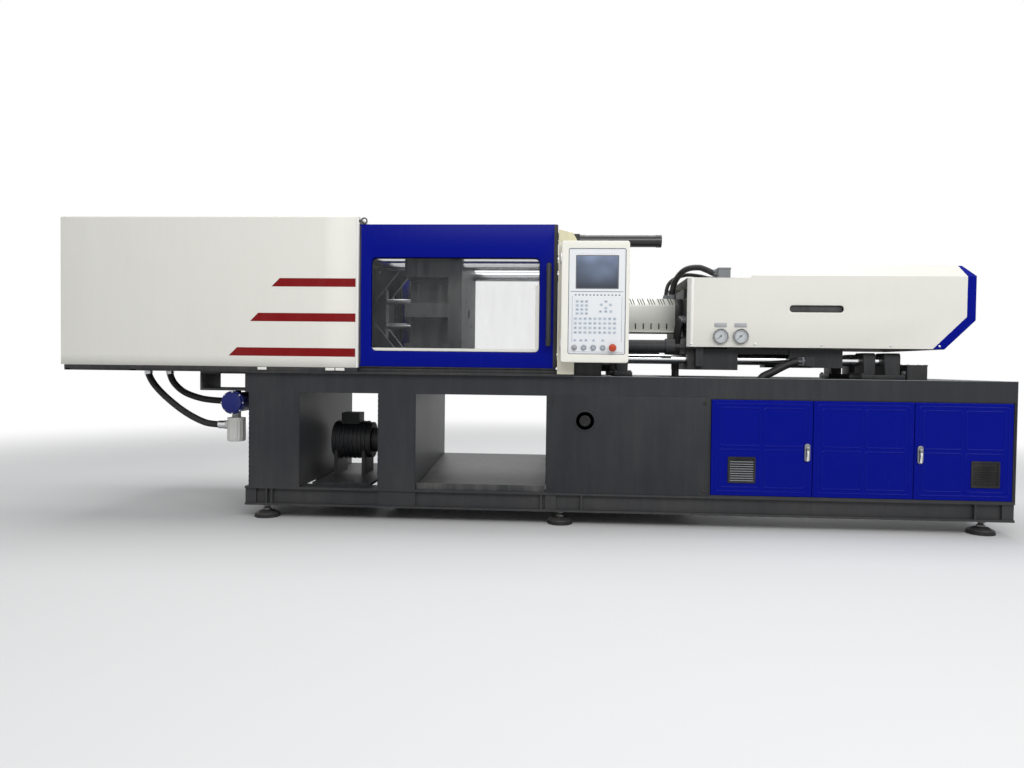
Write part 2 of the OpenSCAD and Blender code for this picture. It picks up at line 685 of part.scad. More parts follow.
// Round nuts on the tie bars' threads that set the mould height, with a retaining plate
module height_nuts() {
    color("#5a5e64") machine() {
        for (y = [-tie_at, tie_at], z = [axis_z - tie_at, axis_z + tie_at]) difference() {
            union() {
                rod_x(130, tail_back - 90, tail_back, y, z);
                rod_x(164, tail_back - 60, tail_back - 34, y, z);
            }
            rod_x(tie_d + 2 * run_gap, tail_back - 100, tail_back + 10, y, z);
        }
    }
}

// Clamp cylinder behind the tail platen, its piston rod and the crosshead on it
rod_d = 60;
cap_t = 60;
cylinder_x = [tail_back - cylinder_l, tail_back];
piston_t = 55;
knee_x = (toggle_open * toggle_open + rear_link_l * rear_link_l - front_link_l * front_link_l)
    / (2 * toggle_open);
knee_drop = sqrt(rear_link_l * rear_link_l - knee_x * knee_x);
rear_open_angle = -atan2(knee_drop, knee_x);
// The third pin of a rear link, in the closed link's own frame: along the link and inward
third_at = [196, -42];
third_open = [third_at[0] * cos(rear_open_angle) - third_at[1] * sin(rear_open_angle),
    third_at[0] * sin(rear_open_angle) + third_at[1] * cos(rear_open_angle)];
cross_pin_z = 190;
cross_link_l = 110;
small_pin_d = 32;
cross_open_drop = toggle_z + third_open[1] - cross_pin_z;
cross_shut_drop = toggle_z + third_at[1] - cross_pin_z;
cross_pin_open = third_open[0] + sqrt(cross_link_l * cross_link_l - cross_open_drop * cross_open_drop);
cross_pin_shut = third_at[0] + sqrt(cross_link_l * cross_link_l - cross_shut_drop * cross_shut_drop);
cross_stroke = cross_pin_shut - cross_pin_open;
cross_x = tail_pin_x + cross_pin_open;
cross_t = 84;
guide_pin_d = 36;
guide_pin_z = 75;

module clamp_cylinder() {
    color("#54585e") machine() difference() {
        union() {
            rod_x(cylinder_d - 20, cylinder_x[0], cylinder_x[1], 0, axis_z);
            for (x = [cylinder_x[0], cylinder_x[1] - cap_t]) rod_x(cylinder_d + 30, x, x + cap_t, 0, axis_z);
        }
        rod_x(clamp_bore, cylinder_x[0] + cap_t, cylinder_x[1] - cap_t, 0, axis_z);
        rod_x(rod_d + 2 * run_gap, cylinder_x[1] - cap_t - 1, cylinder_x[1] + 1, 0, axis_z);
    }
}

module piston_rod() {
    piston_x = cylinder_x[0] + cap_t + 30;
    color("#d5d8dc") machine() {
        rod_x(clamp_bore - 2 * run_gap, piston_x, piston_x + piston_t, 0, axis_z);
        rod_x(rod_d, piston_x + piston_t - 1, cross_x - cross_t / 2 + 60, 0, axis_z);
    }
}

module crosshead() {
    color("#4d5157") machine() difference() {
        union() {
            block([cross_x - cross_t / 2, -cross_y[0] + 4, axis_z - 150],
                [cross_x + cross_t / 2, cross_y[0] - 4, axis_z + 150]);
            for (s = [-1, 1]) {
                rod_y(64, -cross_y[0] + 4, cross_y[0] - 4, cross_x, axis_z + s * cross_pin_z);
                block([cross_x - 32, -cross_y[0] + 4, axis_z + s * cross_pin_z - 60],
                    [cross_x + 32, cross_y[0] - 4, axis_z + s * cross_pin_z + (s > 0 ? 0 : 60)]);
                rod_y(small_pin_d, -cross_y[1], cross_y[1], cross_x, axis_z + s * cross_pin_z);
            }
        }
        rod_x(rod_d, cross_x - cross_t / 2 - 1, cross_x - cross_t / 2 + 60, 0, axis_z);
        for (z = [-guide_pin_z, guide_pin_z])
            rod_x(guide_pin_d + 2 * run_gap, cross_x - cross_t, cross_x + cross_t, 0, axis_z + z);
    }
}

// Two round bars that guide the crosshead, held in the tail platen
module guide_pins() {
    color("#d5d8dc") machine() for (z = [-guide_pin_z, guide_pin_z])
        rod_x(guide_pin_d, tail_x - 60 + 0.5, cross_x + cross_stroke + cross_t / 2 + 12, 0, axis_z + z);
}

module tail_toggle_pins() {
    color("#c2c5c9") machine() for (s = [-1, 1])
        rod_y(pin_d, -148, 148, tail_pin_x, axis_z + s * toggle_z);
}
module front_toggle_pins() {
    color("#c2c5c9") machine() for (s = [-1, 1])
        rod_y(pin_d, -192, 192, front_pin_x, axis_z + s * toggle_z);
}

// A flat link outline: eyes on a list of points, joined by bars as wide as the smaller eye
module link_outline(p, r) {
    for (i = [0:len(p) - 1]) translate(p[i]) circle(r[i]);
    for (i = [0:len(p) - 2]) {
        step = p[i + 1] - p[i];
        w = min(r[i], r[i + 1]);
        translate(p[i]) rotate(atan2(step[1], step[0])) translate([0, -w + 2]) square([norm(step), 2 * w - 4]);
    }
}

// Rear links, drawn about the tail pin in the closed pose and turned to the open one.
// A stub pin stands at the knee on the inner side and at the third pin on the outer side.
module rear_links(side) {
    knee_r = 40;
    color("#5c6066") machine() translate([tail_pin_x, 0, axis_z + side * toggle_z])
        mirror([0, 0, side > 0 ? 0 : 1]) rotate([0, -rear_open_angle, 0])
        for (m = [0, 1]) mirror([0, m, 0]) {
            difference() {
                wall_y(rear_y[0], rear_y[1]) {
                    link_outline([[0, 0], [rear_link_l, 0]], [48, knee_r]);
                    link_outline([[0, 0], third_at], [48, 30]);
                    link_outline([third_at, [rear_link_l, 0]], [30, knee_r]);
                }
                rod_y(pin_d + 2 * run_gap, rear_y[0] - 1, rear_y[1] + 1, 0, 0);
            }
            rod_y(pin_d - 6, rear_y[0] - 4, rear_y[0] + 1, rear_link_l, 0);
            rod_y(small_pin_d, rear_y[0] - 6, rear_y[0] + 1, third_at[0], third_at[1]);
        }
}
module rear_links_upper() {
    rear_links(1);
}
module rear_links_lower() {
    rear_links(-1);
}

// Front links, from the moving platen's pin back to the knee
module front_links(side) {
    open_angle = atan2(-knee_drop, knee_x - toggle_open);
    color("#5c6066") machine() translate([front_pin_x, 0, axis_z + side * toggle_z])
        mirror([0, 0, side > 0 ? 0 : 1]) rotate([0, -open_angle, 0])
        for (m = [0, 1]) mirror([0, m, 0]) {
            difference() {
                wall_y(front_y[0], front_y[1]) link_outline([[0, 0], [front_link_l, 0]], [46, 40]);
                rod_y(pin_d + 2 * run_gap, front_y[0] - 1, front_y[1] + 1, 0, 0);
            }
            rod_y(pin_d - 6, front_y[1] - 1, front_y[1] + 10, front_link_l, 0);
        }
}
module front_links_upper() {
    front_links(1);
}
module front_links_lower() {
    front_links(-1);
}

// Short links from the crosshead to the third pins
module crosshead_links(side) {
    back = [third_open[0] - cross_pin_open, cross_open_drop];
    color("#6a6e74") machine() translate([cross_x, 0, axis_z + side * cross_pin_z])
        mirror([0, 0, side > 0 ? 0 : 1]) for (m = [0, 1]) mirror([0, m, 0])
        difference() {
            wall_y(cross_y[0], cross_y[1]) link_outline([[0, 0], back], [30, 28]);
            rod_y(small_pin_d + 2 * run_gap, cross_y[0] - 1, cross_y[1] + 1, 0, 0);
        }
}
module crosshead_links_upper() {
    crosshead_links(1);
}
module crosshead_links_lower() {
    crosshead_links(-1);
}

// Ejector: a short cylinder in the moving platen's window and its rod through the platen
eject_d = 44;
ejector_d = 100;
ejector_end_x = moving_x - 80 - 40;
ejector_x = [ejector_end_x - eject_stroke - 130, ejector_end_x];
module ejector_cylinder() {
    color("#54585e") machine() difference() {
        union() {
            rod_x(ejector_d - 4, ejector_x[0], ejector_x[1], 0, axis_z);
            rod_x(170, ejector_x[1] - 20, ejector_x[1], 0, axis_z);
        }
        rod_x(eject_d + 20, ejector_x[0] + 20, ejector_x[1] - 40, 0, axis_z);
        rod_x(eject_d + 2 * run_gap, ejector_x[1] - 41, ejector_x[1] + 1, 0, axis_z);
    }
}
module ejector_rod() {
    color("#d5d8dc") machine() {
        rod_x(eject_d + 20 - 2 * run_gap, ejector_x[0] + 25, ejector_x[0] + 50, 0, axis_z);
        rod_x(eject_d, ejector_x[0] + 49, moving_x - 8, 0, axis_z);
    }
}

// Mechanical safety: a notched bar on the moving platen's bracket that runs through the fixed one's
tube_d = 74;
tube_l = 475;
module safety_bar() {
    notch = 8;
    x0 = safety_moving_x[0] + 10;
    x1 = safety_fixed_x[1] + 30;
    color("#c9ccd0") machine() difference() {
        rod_x(safety_d, x0 + 1, x1, safety_y, safety_z);
        for (i = [0:15])
            block([x0 + 120 + 36 * i, safety_y - 30, safety_z + safety_d / 2 - notch],
                [x0 + 134 + 36 * i, safety_y + 30, safety_z + safety_d]);
    }
}
module safety_bar_tube() {
    tube_x = safety_fixed_x[1];
    color("#1b1c1e") machine() difference() {
        rod_x(tube_d - 4, tube_x, tube_x + tube_l, safety_y, safety_z);
        rod_x(tube_d - 16, tube_x - 1, tube_x + tube_l - 6, safety_y, safety_z);
    }
    color("#1b1c1e") machine() for (x = [tube_x, tube_x + tube_l - 30]) difference() {
        rod_x(tube_d, x, x + 30, safety_y, safety_z);
        rod_x(tube_d - 5, x - 1, x + 31, safety_y, safety_z);
    }
}

// Guards: a frame of rails and posts, the clamp cover on it and a sliding door on each side
guard_y = guard_w / 2;
cover_x = [x_left, x_left + cover_l];
rail_top = bed_top + 31;
cover_top = rail_top + cover_h;
door_y = [-guard_y + sheet + 20, -guard_y + sheet + 20 + door_t];
post_x = [fixed_x - 62, fixed_x + 30];
door_x = [post_x[0] - 7 - door_l, post_x[0] - 7];
door_z = [rail_top + 9, rail_top + 9 + door_h];
post_top = door_z[1] - 35;
post_low_top = post_top - 57;
hmi_x = [post_x[0] + 17, post_x[0] + 17 + hmi_w];
hmi_y = [-guard_y - panel_gap - hmi_t, -guard_y - panel_gap];
hmi_z = [bed_top + 73, bed_top + 73 + hmi_h];
hmi_hinge = [hmi_x[0] + 10, hmi_y[1] - 10];
hmi_hinge_z = [hmi_z[0] + 85, hmi_z[1] - 92];
hmi_pin_d = 12;
module guard_frame() {
    rail_in = 70;
    track = 8;
    color("#e2dccb") machine() {
        both_sides() {
            block([x_left + 20, -guard_y, bed_top], [post_x[1], -guard_y + rail_in, bed_top + 10]);
            block([x_left + 20, -guard_y, bed_top], [cover_x[1], -guard_y + 12, rail_top]);
            block([x_left + 20, door_y[0] + 11, bed_top + 9], [post_x[0], door_y[0] + 11 + track, rail_top]);
            block([cover_x[1] - 30, -guard_y + 40 + door_t, post_top - 42],
                [post_x[0] + 10, -guard_y + 46 + door_t, post_top - 2]);
        }
        both_sides() difference() {
            wall_y(-guard_y, -guard_y + 60)
                polygon([[post_x[0], bed_top + 5], [post_x[1], bed_top + 5], [post_x[1], post_low_top],
                    [post_x[0], post_top]]);
            block([post_x[0] + sheet, -guard_y + sheet, bed_top + 20],
                [post_x[1] - sheet, -guard_y + 61, post_low_top - 20]);
        }
        both_sides() block([cover_x[1] - 30, -guard_y + 60, bed_top + 9],
            [cover_x[1] - 4, -guard_y + 40 + door_t + 6, post_top - 2]);
        both_sides() block([door_x[0] - door_travel - 36, door_y[0] + 4, rail_top - 12],
            [door_x[0] - door_travel - 12, door_y[0] + 11 + track, rail_top + 30]);
        block([x_left + 20, -guard_y, bed_top], [x_left + 60, guard_y, bed_top + 10]);
        block([member_x, -guard_y, bed_top], [member_x + 38, guard_y, bed_top + 10]);
    }
    color("#4d5157") machine() block([member_x - manifold_back, manifold_y, manifold_low],
        [member_x - manifold_back + manifold_l, manifold_y + manifold_w, manifold_low + manifold_h]);
    color("#8d9096") machine() for (z = hmi_hinge_z) {
        translate([hmi_hinge[0], hmi_hinge[1], z - 1]) cylinder(d = hmi_pin_d, h = 41);
        block([hmi_x[0] - 6, hmi_hinge[1] - 7, z - 10], [hmi_x[0] + 24, -guard_y + 1, z]);
    }
}

module clamp_cover() {
    color("#ecebe3") machine() {
        difference() {
            block([cover_x[0], -guard_y, rail_top], [cover_x[1], guard_y, cover_top]);
            block([cover_x[0] + sheet, -guard_y + sheet, rail_top - 1],
                [cover_x[1] + 1, guard_y - sheet, cover_top - sheet]);
        }
        both_sides() block([cover_x[1] - sheet, -guard_y + 1, rail_top],
            [cover_x[1], -guard_y + 14, cover_top - 1]);
        block([cover_x[1] - sheet, -guard_y + 1, cover_top - 14], [cover_x[1], guard_y - 1, cover_top - 1]);
    }
}

// A folded sheet door with its window opening, sliding shoes on the rail and a grip
window_in = [door_x[0] + 107, door_z[0] + 84];
window_r = 28;
module guard_door() {
    shoe_gap = 0.1;
    difference() {
        union() {
            difference() {
                block([door_x[0], door_y[0], door_z[0]], [door_x[1], door_y[1], door_z[1]]);
                block([door_x[0] + sheet, door_y[0] + sheet, door_z[0] + sheet],
                    [door_x[1] - sheet, door_y[1] + 1, door_z[1] - sheet]);
            }
            wall_y(door_y[0] + sheet - 1, door_y[1]) translate(window_in - [14, 14])
                round_rect([window_l + 28, window_h + 28], window_r + 14);
        }
        wall_y(door_y[0] - 1, door_y[1] + 1) translate(window_in) round_rect([window_l, window_h], window_r);
    }
    for (x = [door_x[0] + 140, door_x[1] - 140]) {
        block([x - 30, door_y[0] + 11, rail_top + shoe_gap], [x + 30, door_y[0] + 19, door_z[0] + 1]);
        block([x - 30, door_y[0] + 22, door_z[0] - 6], [x + 30, door_y[0] + 26, door_z[0] + 40]);
    }
    grip_x = door_x[1] - 42;
    rod_y(14, -guard_y - handle_reach + 14, door_y[0] + 1, grip_x, door_z[0] + 150);
    rod_y(14, -guard_y - handle_reach + 14, door_y[0] + 1, grip_x, door_z[0] + 530);
    block([grip_x - 14, -guard_y - handle_reach, door_z[0] + 116],
        [grip_x + 14, -guard_y - handle_reach + 15, door_z[0] + 563]);
}
module pane() {
    wall_y(door_y[1], door_y[1] + 5) translate(window_in - [10, 10]) round_rect([window_l + 20, window_h + 20], 30);
}
module front_door() {
    color("#16229a") machine() guard_door();
}
module front_window() {
    color("#aebcc6") machine() pane();
}
module rear_door() {
    color("#16229a") machine() mirror([0, 1, 0]) guard_door();
}
module rear_window() {
    color("#aebcc6") machine() mirror([0, 1, 0]) pane();
}

// Operator panel, hung on two hinge pins at its left edge
button_bore = 20;
button_pitch = 49.5;
button_z = hmi_z[0] + 78;
function button_x(i) = hmi_x[0] + 72 + button_pitch * i;
stop_x = button_x(4);
module panel_housing() {
    membrane = [[40, 46], [294, 548]];
    screen = [[80, 390], [214, 166]];
    color("#dcdcd6") machine() difference() {
        wall_y(hmi_y[0], hmi_y[1]) translate([hmi_x[0], hmi_z[0]]) round_rect([hmi_w, hmi_h], 14);
        wall_y(hmi_y[0] - 1, hmi_y[0] + 3) translate([hmi_x[0], hmi_z[0]] + membrane[0])
            round_rect(membrane[1], 8);
        wall_y(hmi_y[0], hmi_y[0] + 6) translate([hmi_x[0], hmi_z[0]] + screen[0]) square(screen[1]);
        for (z = hmi_hinge_z) {
            translate([hmi_hinge[0], hmi_hinge[1], z - 1]) cylinder(d = hmi_pin_d + 2 * run_gap, h = 44);
            block([hmi_x[0] - 1, hmi_hinge[1] - 20, z - 11], [hmi_x[0] + 38, hmi_y[1] + 1, z + seat_gap]);
        }
        for (i = [0:4]) rod_y(button_bore, hmi_y[0] - 1, hmi_y[0] + 32, button_x(i), button_z);
    }
}
module emergency_stop() {
    head_y = hmi_y[0] - stop_reach;
    color("#d8391c") machine() {
        rod_y(40, head_y, head_y + 14, stop_x, button_z);
        rod_y(30, head_y + 13, hmi_y[0] - button_travel - 4, stop_x, button_z);
        rod_y(button_bore - 2 * run_gap, hmi_y[0] - button_travel - 5, hmi_y[0] + 22, stop_x, button_z);
    }
}
module push_button(i) {
    rod_y(button_bore - 2 * run_gap, hmi_y[0] - button_travel - 4, hmi_y[0] + 22, button_x(i), button_z);
}
module start_button() {
    color("#3f9a55") machine() push_button(1);
}
module stop_button() {
    color("#b0b4b8") machine() push_button(2);
}
module heater_button() {
    color("#b0b4b8") machine() push_button(3);
}
module key_switch() {
    color("#c9ccd0") machine() {
        rod_y(button_bore - 2 * run_gap, hmi_y[0] - 10, hmi_y[0] + 22, button_x(0), button_z);
        block([button_x(0) - 2, hmi_y[0] - 28, button_z - 12], [button_x(0) + 2, hmi_y[0] - 9, button_z + 12]);
    }
}

// Injection unit: guide rods on the bed, the carriage and the barrel on them
guide_y = 250;
guide_z = bed_top + 102;
inj_x = [fixed_back + 467, fixed_back + 467 + inj_l];
carriage_x = [inj_x[0] + 20, inj_x[0] + 300];
pedestal_x = [[fixed_back + 85, fixed_back + 155], [fixed_back + 1458, fixed_back + 1523],
    [fixed_back + 1572, fixed_back + 1659]];
module guide_rods() {
    color("#d5d8dc") machine() both_sides()
        rod_x(guide_d, pedestal_x[0][0] + 2, pedestal_x[2][1] - 2, -guide_y, guide_z);
    color("#3f4247") machine() both_sides() difference() {
        union() {
            for (i = [0:2]) block([pedestal_x[i][0], -guide_y - (i == 0 ? 34 : 70), bed_top],
                [pedestal_x[i][1], -guide_y + 70, guide_z + 45]);
            for (x = [pedestal_x[0], [pedestal_x[1][0], pedestal_x[2][1]]])
                block([x[0] - 20, -guide_y - 90, bed_top], [x[1] + 20, -guide_y + 90, bed_top + 25]);
        }
        rod_x(guide_d + 2 * run_gap, pedestal_x[0][0] + 1.5, pedestal_x[2][1] - 1.5, -guide_y, guide_z);
    }
}

// Carriage cylinders: their place on the fixed platen, and the rods the carriage pulls itself along by
seat_cyl_y = 325;
seat_cyl_z = bed_top + 171;
seat_cyl_d = 74;
seat_rod_d = 32;
seat_cyl_x = [fixed_back + 65, fixed_back + 407];
seat_piston_x = seat_cyl_x[0] + 112;
back_travel = 105;
contact_travel = carriage_travel - back_travel;

inj_cyl_y = 190;
inj_cyl_d = 110;
inj_rod_d = 55;
inj_cyl_x = [carriage_x[0] + 60, carriage_x[0] + 400 + inject_stroke];
shoe_y = [190, 310];
inj_bottom = bed_top + 170;
inj_top = inj_bottom + inj_h;
deck_z = inj_top - 80;
throat_top = deck_z + 26;
drain_y = -334;
drain_z = guide_z - 7;
rear_shoe_x = [carriage_x[0] + 566, carriage_x[0] + 858];
throat_x = carriage_x[0] + 210;
throat_w = 130;
module carriage() {
    x0 = carriage_x[0];
    x1 = carriage_x[1];
    color("#3f4247") machine() difference() {
        union() {
            block([x0, -150, axis_z - 130], [x1, 150, deck_z - 39]);
            block([x0, -300, axis_z - 90], [x0 + 120, 300, deck_z - 99]);
            block([x0, -shoe_y[1], guide_z - 60], [x1, shoe_y[1], guide_z + 60]);
            block([x0 + 20, -120, guide_z + 40], [x1 - 20, 120, axis_z - 110]);
            both_sides() {
                block([x1 - 1, -shoe_y[1] + 10, guide_z + 32], [rear_shoe_x[0] + 1, -shoe_y[0] - 10, guide_z + 60]);
                block([rear_shoe_x[0], -shoe_y[1], guide_z - 42], [rear_shoe_x[1], -shoe_y[0], guide_z + 60]);
                rod_x(inj_cyl_d, inj_cyl_x[0], inj_cyl_x[1], -inj_cyl_y, axis_z);
                rod_x(inj_cyl_d + 20, inj_cyl_x[1] - 40, inj_cyl_x[1], -inj_cyl_y, axis_z);
            }
            block([throat_x - throat_w / 2, -throat_w / 2, deck_z - 40],
                [throat_x + throat_w / 2, throat_w / 2, throat_top]);
            block([rear_shoe_x[0] + 72, drain_y - 26, drain_z - 26], [rear_shoe_x[0] + 124, -shoe_y[1] + 1, drain_z + 26]);
        }
        both_sides() {
            rod_x(guide_d + 2 * run_gap, x0 - 1, rear_shoe_x[1] + 1, -guide_y, guide_z);
            rod_x(inj_cyl_d - 30, inj_cyl_x[0] + 70, inj_cyl_x[1] - 40, -inj_cyl_y, axis_z);
            rod_x(inj_rod_d + 2 * run_gap, inj_cyl_x[1] - 41, inj_cyl_x[1] + 1, -inj_cyl_y, axis_z);
        }
        rod_x(barrel_d + 2 * run_gap, x0 - 1, x1 + 1, 0, axis_z);
        translate([throat_x, 0, axis_z]) cylinder(d = 50, h = throat_top - axis_z + 1);
        for (dx = [-50, 50], dy = [-50, 50])
            translate([throat_x + dx, dy, throat_top - 30]) cylinder(d = 12, h = 31);
    }
    color("#d5d8dc") machine() both_sides() {
        rod_x(seat_rod_d, seat_piston_x + 1, x0 + 40, -seat_cyl_y, seat_cyl_z);
        rod_x(seat_cyl_d - 20 - 2 * run_gap, seat_piston_x, seat_piston_x + 26, -seat_cyl_y, seat_cyl_z);
        block([x0 + 39, -seat_cyl_y - 20, guide_z - 40], [x0 + 80, -shoe_y[1] + 1, seat_cyl_z + 24]);
    }
}

// Barrel with its nozzle and heater bands
nozzle_x = fixed_x - 45 + contact_travel;
barrel_x = [nozzle_x + 90, nozzle_x + 1025];
module barrel() {
    color("#6b6f75") machine() {
        difference() {
            union() {
                rod_x(barrel_d, barrel_x[0], barrel_x[1], 0, axis_z);
                translate([nozzle_x + 30, 0, axis_z]) rotate([0, 90, 0])
                    cylinder(d1 = 44, d2 = 90, h = barrel_x[0] - nozzle_x - 29);
                translate([nozzle_x, 0, axis_z]) rotate([0, 90, 0]) cylinder(d1 = 26, d2 = 44, h = 31);
                for (i = [0:3]) rod_x(barrel_d + 22, barrel_x[0] + 90 + 115 * i, barrel_x[0] + 195 + 115 * i, 0, axis_z);
            }
            rod_x(screw_d + 2 * run_gap, barrel_x[0], barrel_x[1] + 1, 0, axis_z);
            rod_x(4, nozzle_x - 1, barrel_x[0] + 1, 0, axis_z);
            translate([throat_x, 0, axis_z]) cylinder(d = 40, h = 200);
        }
    }
}

// Slotted sheet guard over the hot barrel, with bevelled upper edges
module barrel_guard() {
    s = barrel_guard_s / 2;
    bevel = 43;
    x0 = fixed_back + contact_travel + 5;
    x1 = carriage_x[0];
    outline = [[-s, -s], [s, -s], [s, s - bevel], [s - bevel, s], [-s + bevel, s], [-s, s - bevel]];
    inner = s - sheet;
    inner_outline = [[-inner, -s - 1], [inner, -s - 1], [inner, s - bevel - 1], [s - bevel - 1, inner],
        [-s + bevel + 1, inner], [-inner, s - bevel - 1]];
    color("#e9e8e0") machine() difference() {
        union() {
            wall_x(x0, x1) translate([0, axis_z]) difference() {
                polygon(outline);
                polygon(inner_outline);
            }
            both_sides() block([x0, -s - 14, axis_z - s], [x1, -s + 2, axis_z - s + sheet]);
            both_sides() block([x1 - 4, -s - 14, axis_z - s], [x1, -s + 2, axis_z + s - bevel]);
        }
        both_sides() for (i = [0:6], j = [0:2])
            translate([x0 + 40 + 50 * i + 13 * j, -s + bevel / 2, axis_z + s - bevel / 2])
            rotate([45, 0, 0]) translate([-3, -20, -18]) cube([6, 40, 36]);
        both_sides() for (i = [0:7])
            block([x0 + 36 + 46 * i, -s - 1, axis_z - s + 14], [x0 + 44 + 46 * i, -s + 10, axis_z - s + 52]);
    }
}

module screw() {
    color("#c2c5c9") machine() {
        translate([barrel_x[0] + 4, 0, axis_z]) rotate([0, 90, 0]) cylinder(d1 = 10, d2 = screw_d, h = 50);
        rod_x(screw_d, barrel_x[0] + 53, thrust_x[0], 0, axis_z);
    }
}

// Thrust plate on the injection cylinders' rods, with the hydraulic motor that turns the screw
thrust_x = [inj_cyl_x[1] + 40, inj_cyl_x[1] + 160];
module thrust_unit() {
    motor_x = thrust_x[1];
    color("#474b50") machine() union() {
        block([thrust_x[0], -290, axis_z - 90], [thrust_x[1], 290, axis_z + 90]);
        block([thrust_x[0], -150, axis_z - 150], [thrust_x[1], 150, axis_z + 150]);
        rod_x(190, motor_x - 1, motor_x + 60, 0, axis_z);
        rod_x(240, motor_x + 59, motor_x + 190, 0, axis_z);
        rod_x(150, motor_x + 189, motor_x + 260, 0, axis_z);
        for (a = [0:72:359]) translate([0, 0, axis_z]) rotate([a, 0, 0])
            rod_x(64, motor_x + 70, motor_x + 180, 0, 104);
        both_sides() {
            rod_x(inj_rod_d, inj_cyl_x[0] + 110, thrust_x[0] + 1, -inj_cyl_y, axis_z);
            rod_x(inj_cyl_d - 30 - 2 * run_gap, inj_cyl_x[0] + 90, inj_cyl_x[0] + 130, -inj_cyl_y, axis_z);
        }
    }
}

module carriage_cylinders() {
    head = 50;
    color("#2a2c2f") machine() both_sides() difference() {
        union() {
            rod_x(seat_cyl_d, seat_cyl_x[0], seat_cyl_x[1], -seat_cyl_y, seat_cyl_z);
            rod_x(seat_cyl_d + 14, seat_cyl_x[1] - head, seat_cyl_x[1], -seat_cyl_y, seat_cyl_z);
            block([fixed_back, -seat_cyl_y - 20, seat_cyl_z - 6], [seat_cyl_x[0] + 1, -seat_cyl_y + 25, seat_cyl_z + 40]);
        }
        rod_x(seat_cyl_d - 20, seat_cyl_x[0] + 30, seat_cyl_x[1] - head, -seat_cyl_y, seat_cyl_z);
        rod_x(seat_rod_d + 2 * run_gap, seat_cyl_x[1] - head - 1, seat_cyl_x[1] + 1, -seat_cyl_y, seat_cyl_z);
    }
}

// Injection cover: a low deck in front, a roof with bevelled edges and a chamfered rear end
end_low_z = inj_bottom + 159;
roof_bevel = 66;
roof_x = [inj_x[0] + 416, inj_x[1] - 46];
end_cut_x = inj_x[1] - 161;
slot_x = [inj_x[0] + 561, inj_x[0] + 854];
slot_z = [inj_bottom + 196, inj_bottom + 235];
module cover_side(x0, x1, grow) {
    polygon([[x0, inj_bottom - grow], [end_cut_x, inj_bottom - grow], [x1, end_low_z + grow * 0.4],
        [x1, inj_top - 62 - grow * 0.4], [roof_x[1], inj_top - grow], [roof_x[0], inj_top - grow],
        [inj_x[0] + 340, deck_z - grow], [x0, deck_z - grow]]);
}
module cover_end(grow) {
    y = inj_w / 2 - grow;
    top = inj_top - grow;
    polygon([[-y, inj_bottom - 10], [y, inj_bottom - 10], [y, top - roof_bevel], [y - roof_bevel, top],
        [-y + roof_bevel, top], [-y, top - roof_bevel]]);
}
module injection_cover() {
    band = 46;
    hole = throat_w / 2 + 10;
    color("#ecebe3") machine() difference() {
        intersection() {
            wall_y(-inj_w / 2, inj_w / 2) cover_side(inj_x[0], inj_x[1], 0);
            wall_x(inj_x[0], inj_x[1]) cover_end(0);
        }
        intersection() {
            wall_y(-inj_w / 2, inj_w / 2) cover_side(inj_x[0] - 1, inj_x[1] - sheet, sheet);
            wall_x(inj_x[0] - 1, inj_x[1] - sheet) cover_end(sheet);
        }
        wall_y(-inj_w / 2 - 1, -inj_w / 2 + 10) translate([slot_x[0], slot_z[0]])
            round_rect([slot_x[1] - slot_x[0], slot_z[1] - slot_z[0]], 18);
        block([throat_x - hole, -hole, deck_z - 20], [throat_x + hole, hole, deck_z + 1]);
    }
    color("#16229a") machine() both_sides() wall_y(-inj_w / 2 - 1.5, -inj_w / 2)
        polygon([[end_cut_x, inj_bottom], [inj_x[1], end_low_z], [inj_x[1], inj_top - 66],
            [inj_x[1] - band, inj_top - 66], [inj_x[1] - band, end_low_z + 7], [end_cut_x - 30, inj_bottom]]);
    color("#4d5157") machine() block([box_x[0], box_y[0], deck_z - 1], [box_x[1], box_y[1], box_z]);
}

gauge_x = [inj_x[0] + 186, inj_x[0] + 296];
gauge_z = inj_bottom + 60;
gauge_d = 84;
gauge_y = [-inj_w / 2 - 24, -inj_w / 2];
module pressure_gauges() {
    color("#c9ccd0") machine() for (x = gauge_x) difference() {
        rod_y(gauge_d, gauge_y[0], gauge_y[1], x, gauge_z);
        rod_y(gauge_d - 12, gauge_y[0] - 1, gauge_y[1] - 8, x, gauge_z);
    }
}
module gauge_needle(x) {
    tip = gauge_d / 2 - 12;
    color("#c8321e") machine() {
        rod_y(12, gauge_y[1] - 16, gauge_y[1] - 8, x, gauge_z);
        wall_y(gauge_y[1] - 14, gauge_y[1] - 12) translate([x, gauge_z])
            polygon([[-tip * 0.7, -tip * 0.7 - 1], [-tip * 0.7 - 1, -tip * 0.7], [4, 20], [20, 4]]);
    }
}
module gauge_needle_left() {
    gauge_needle(gauge_x[0]);
}
module gauge_needle_right() {
    gauge_needle(gauge_x[1]);
}

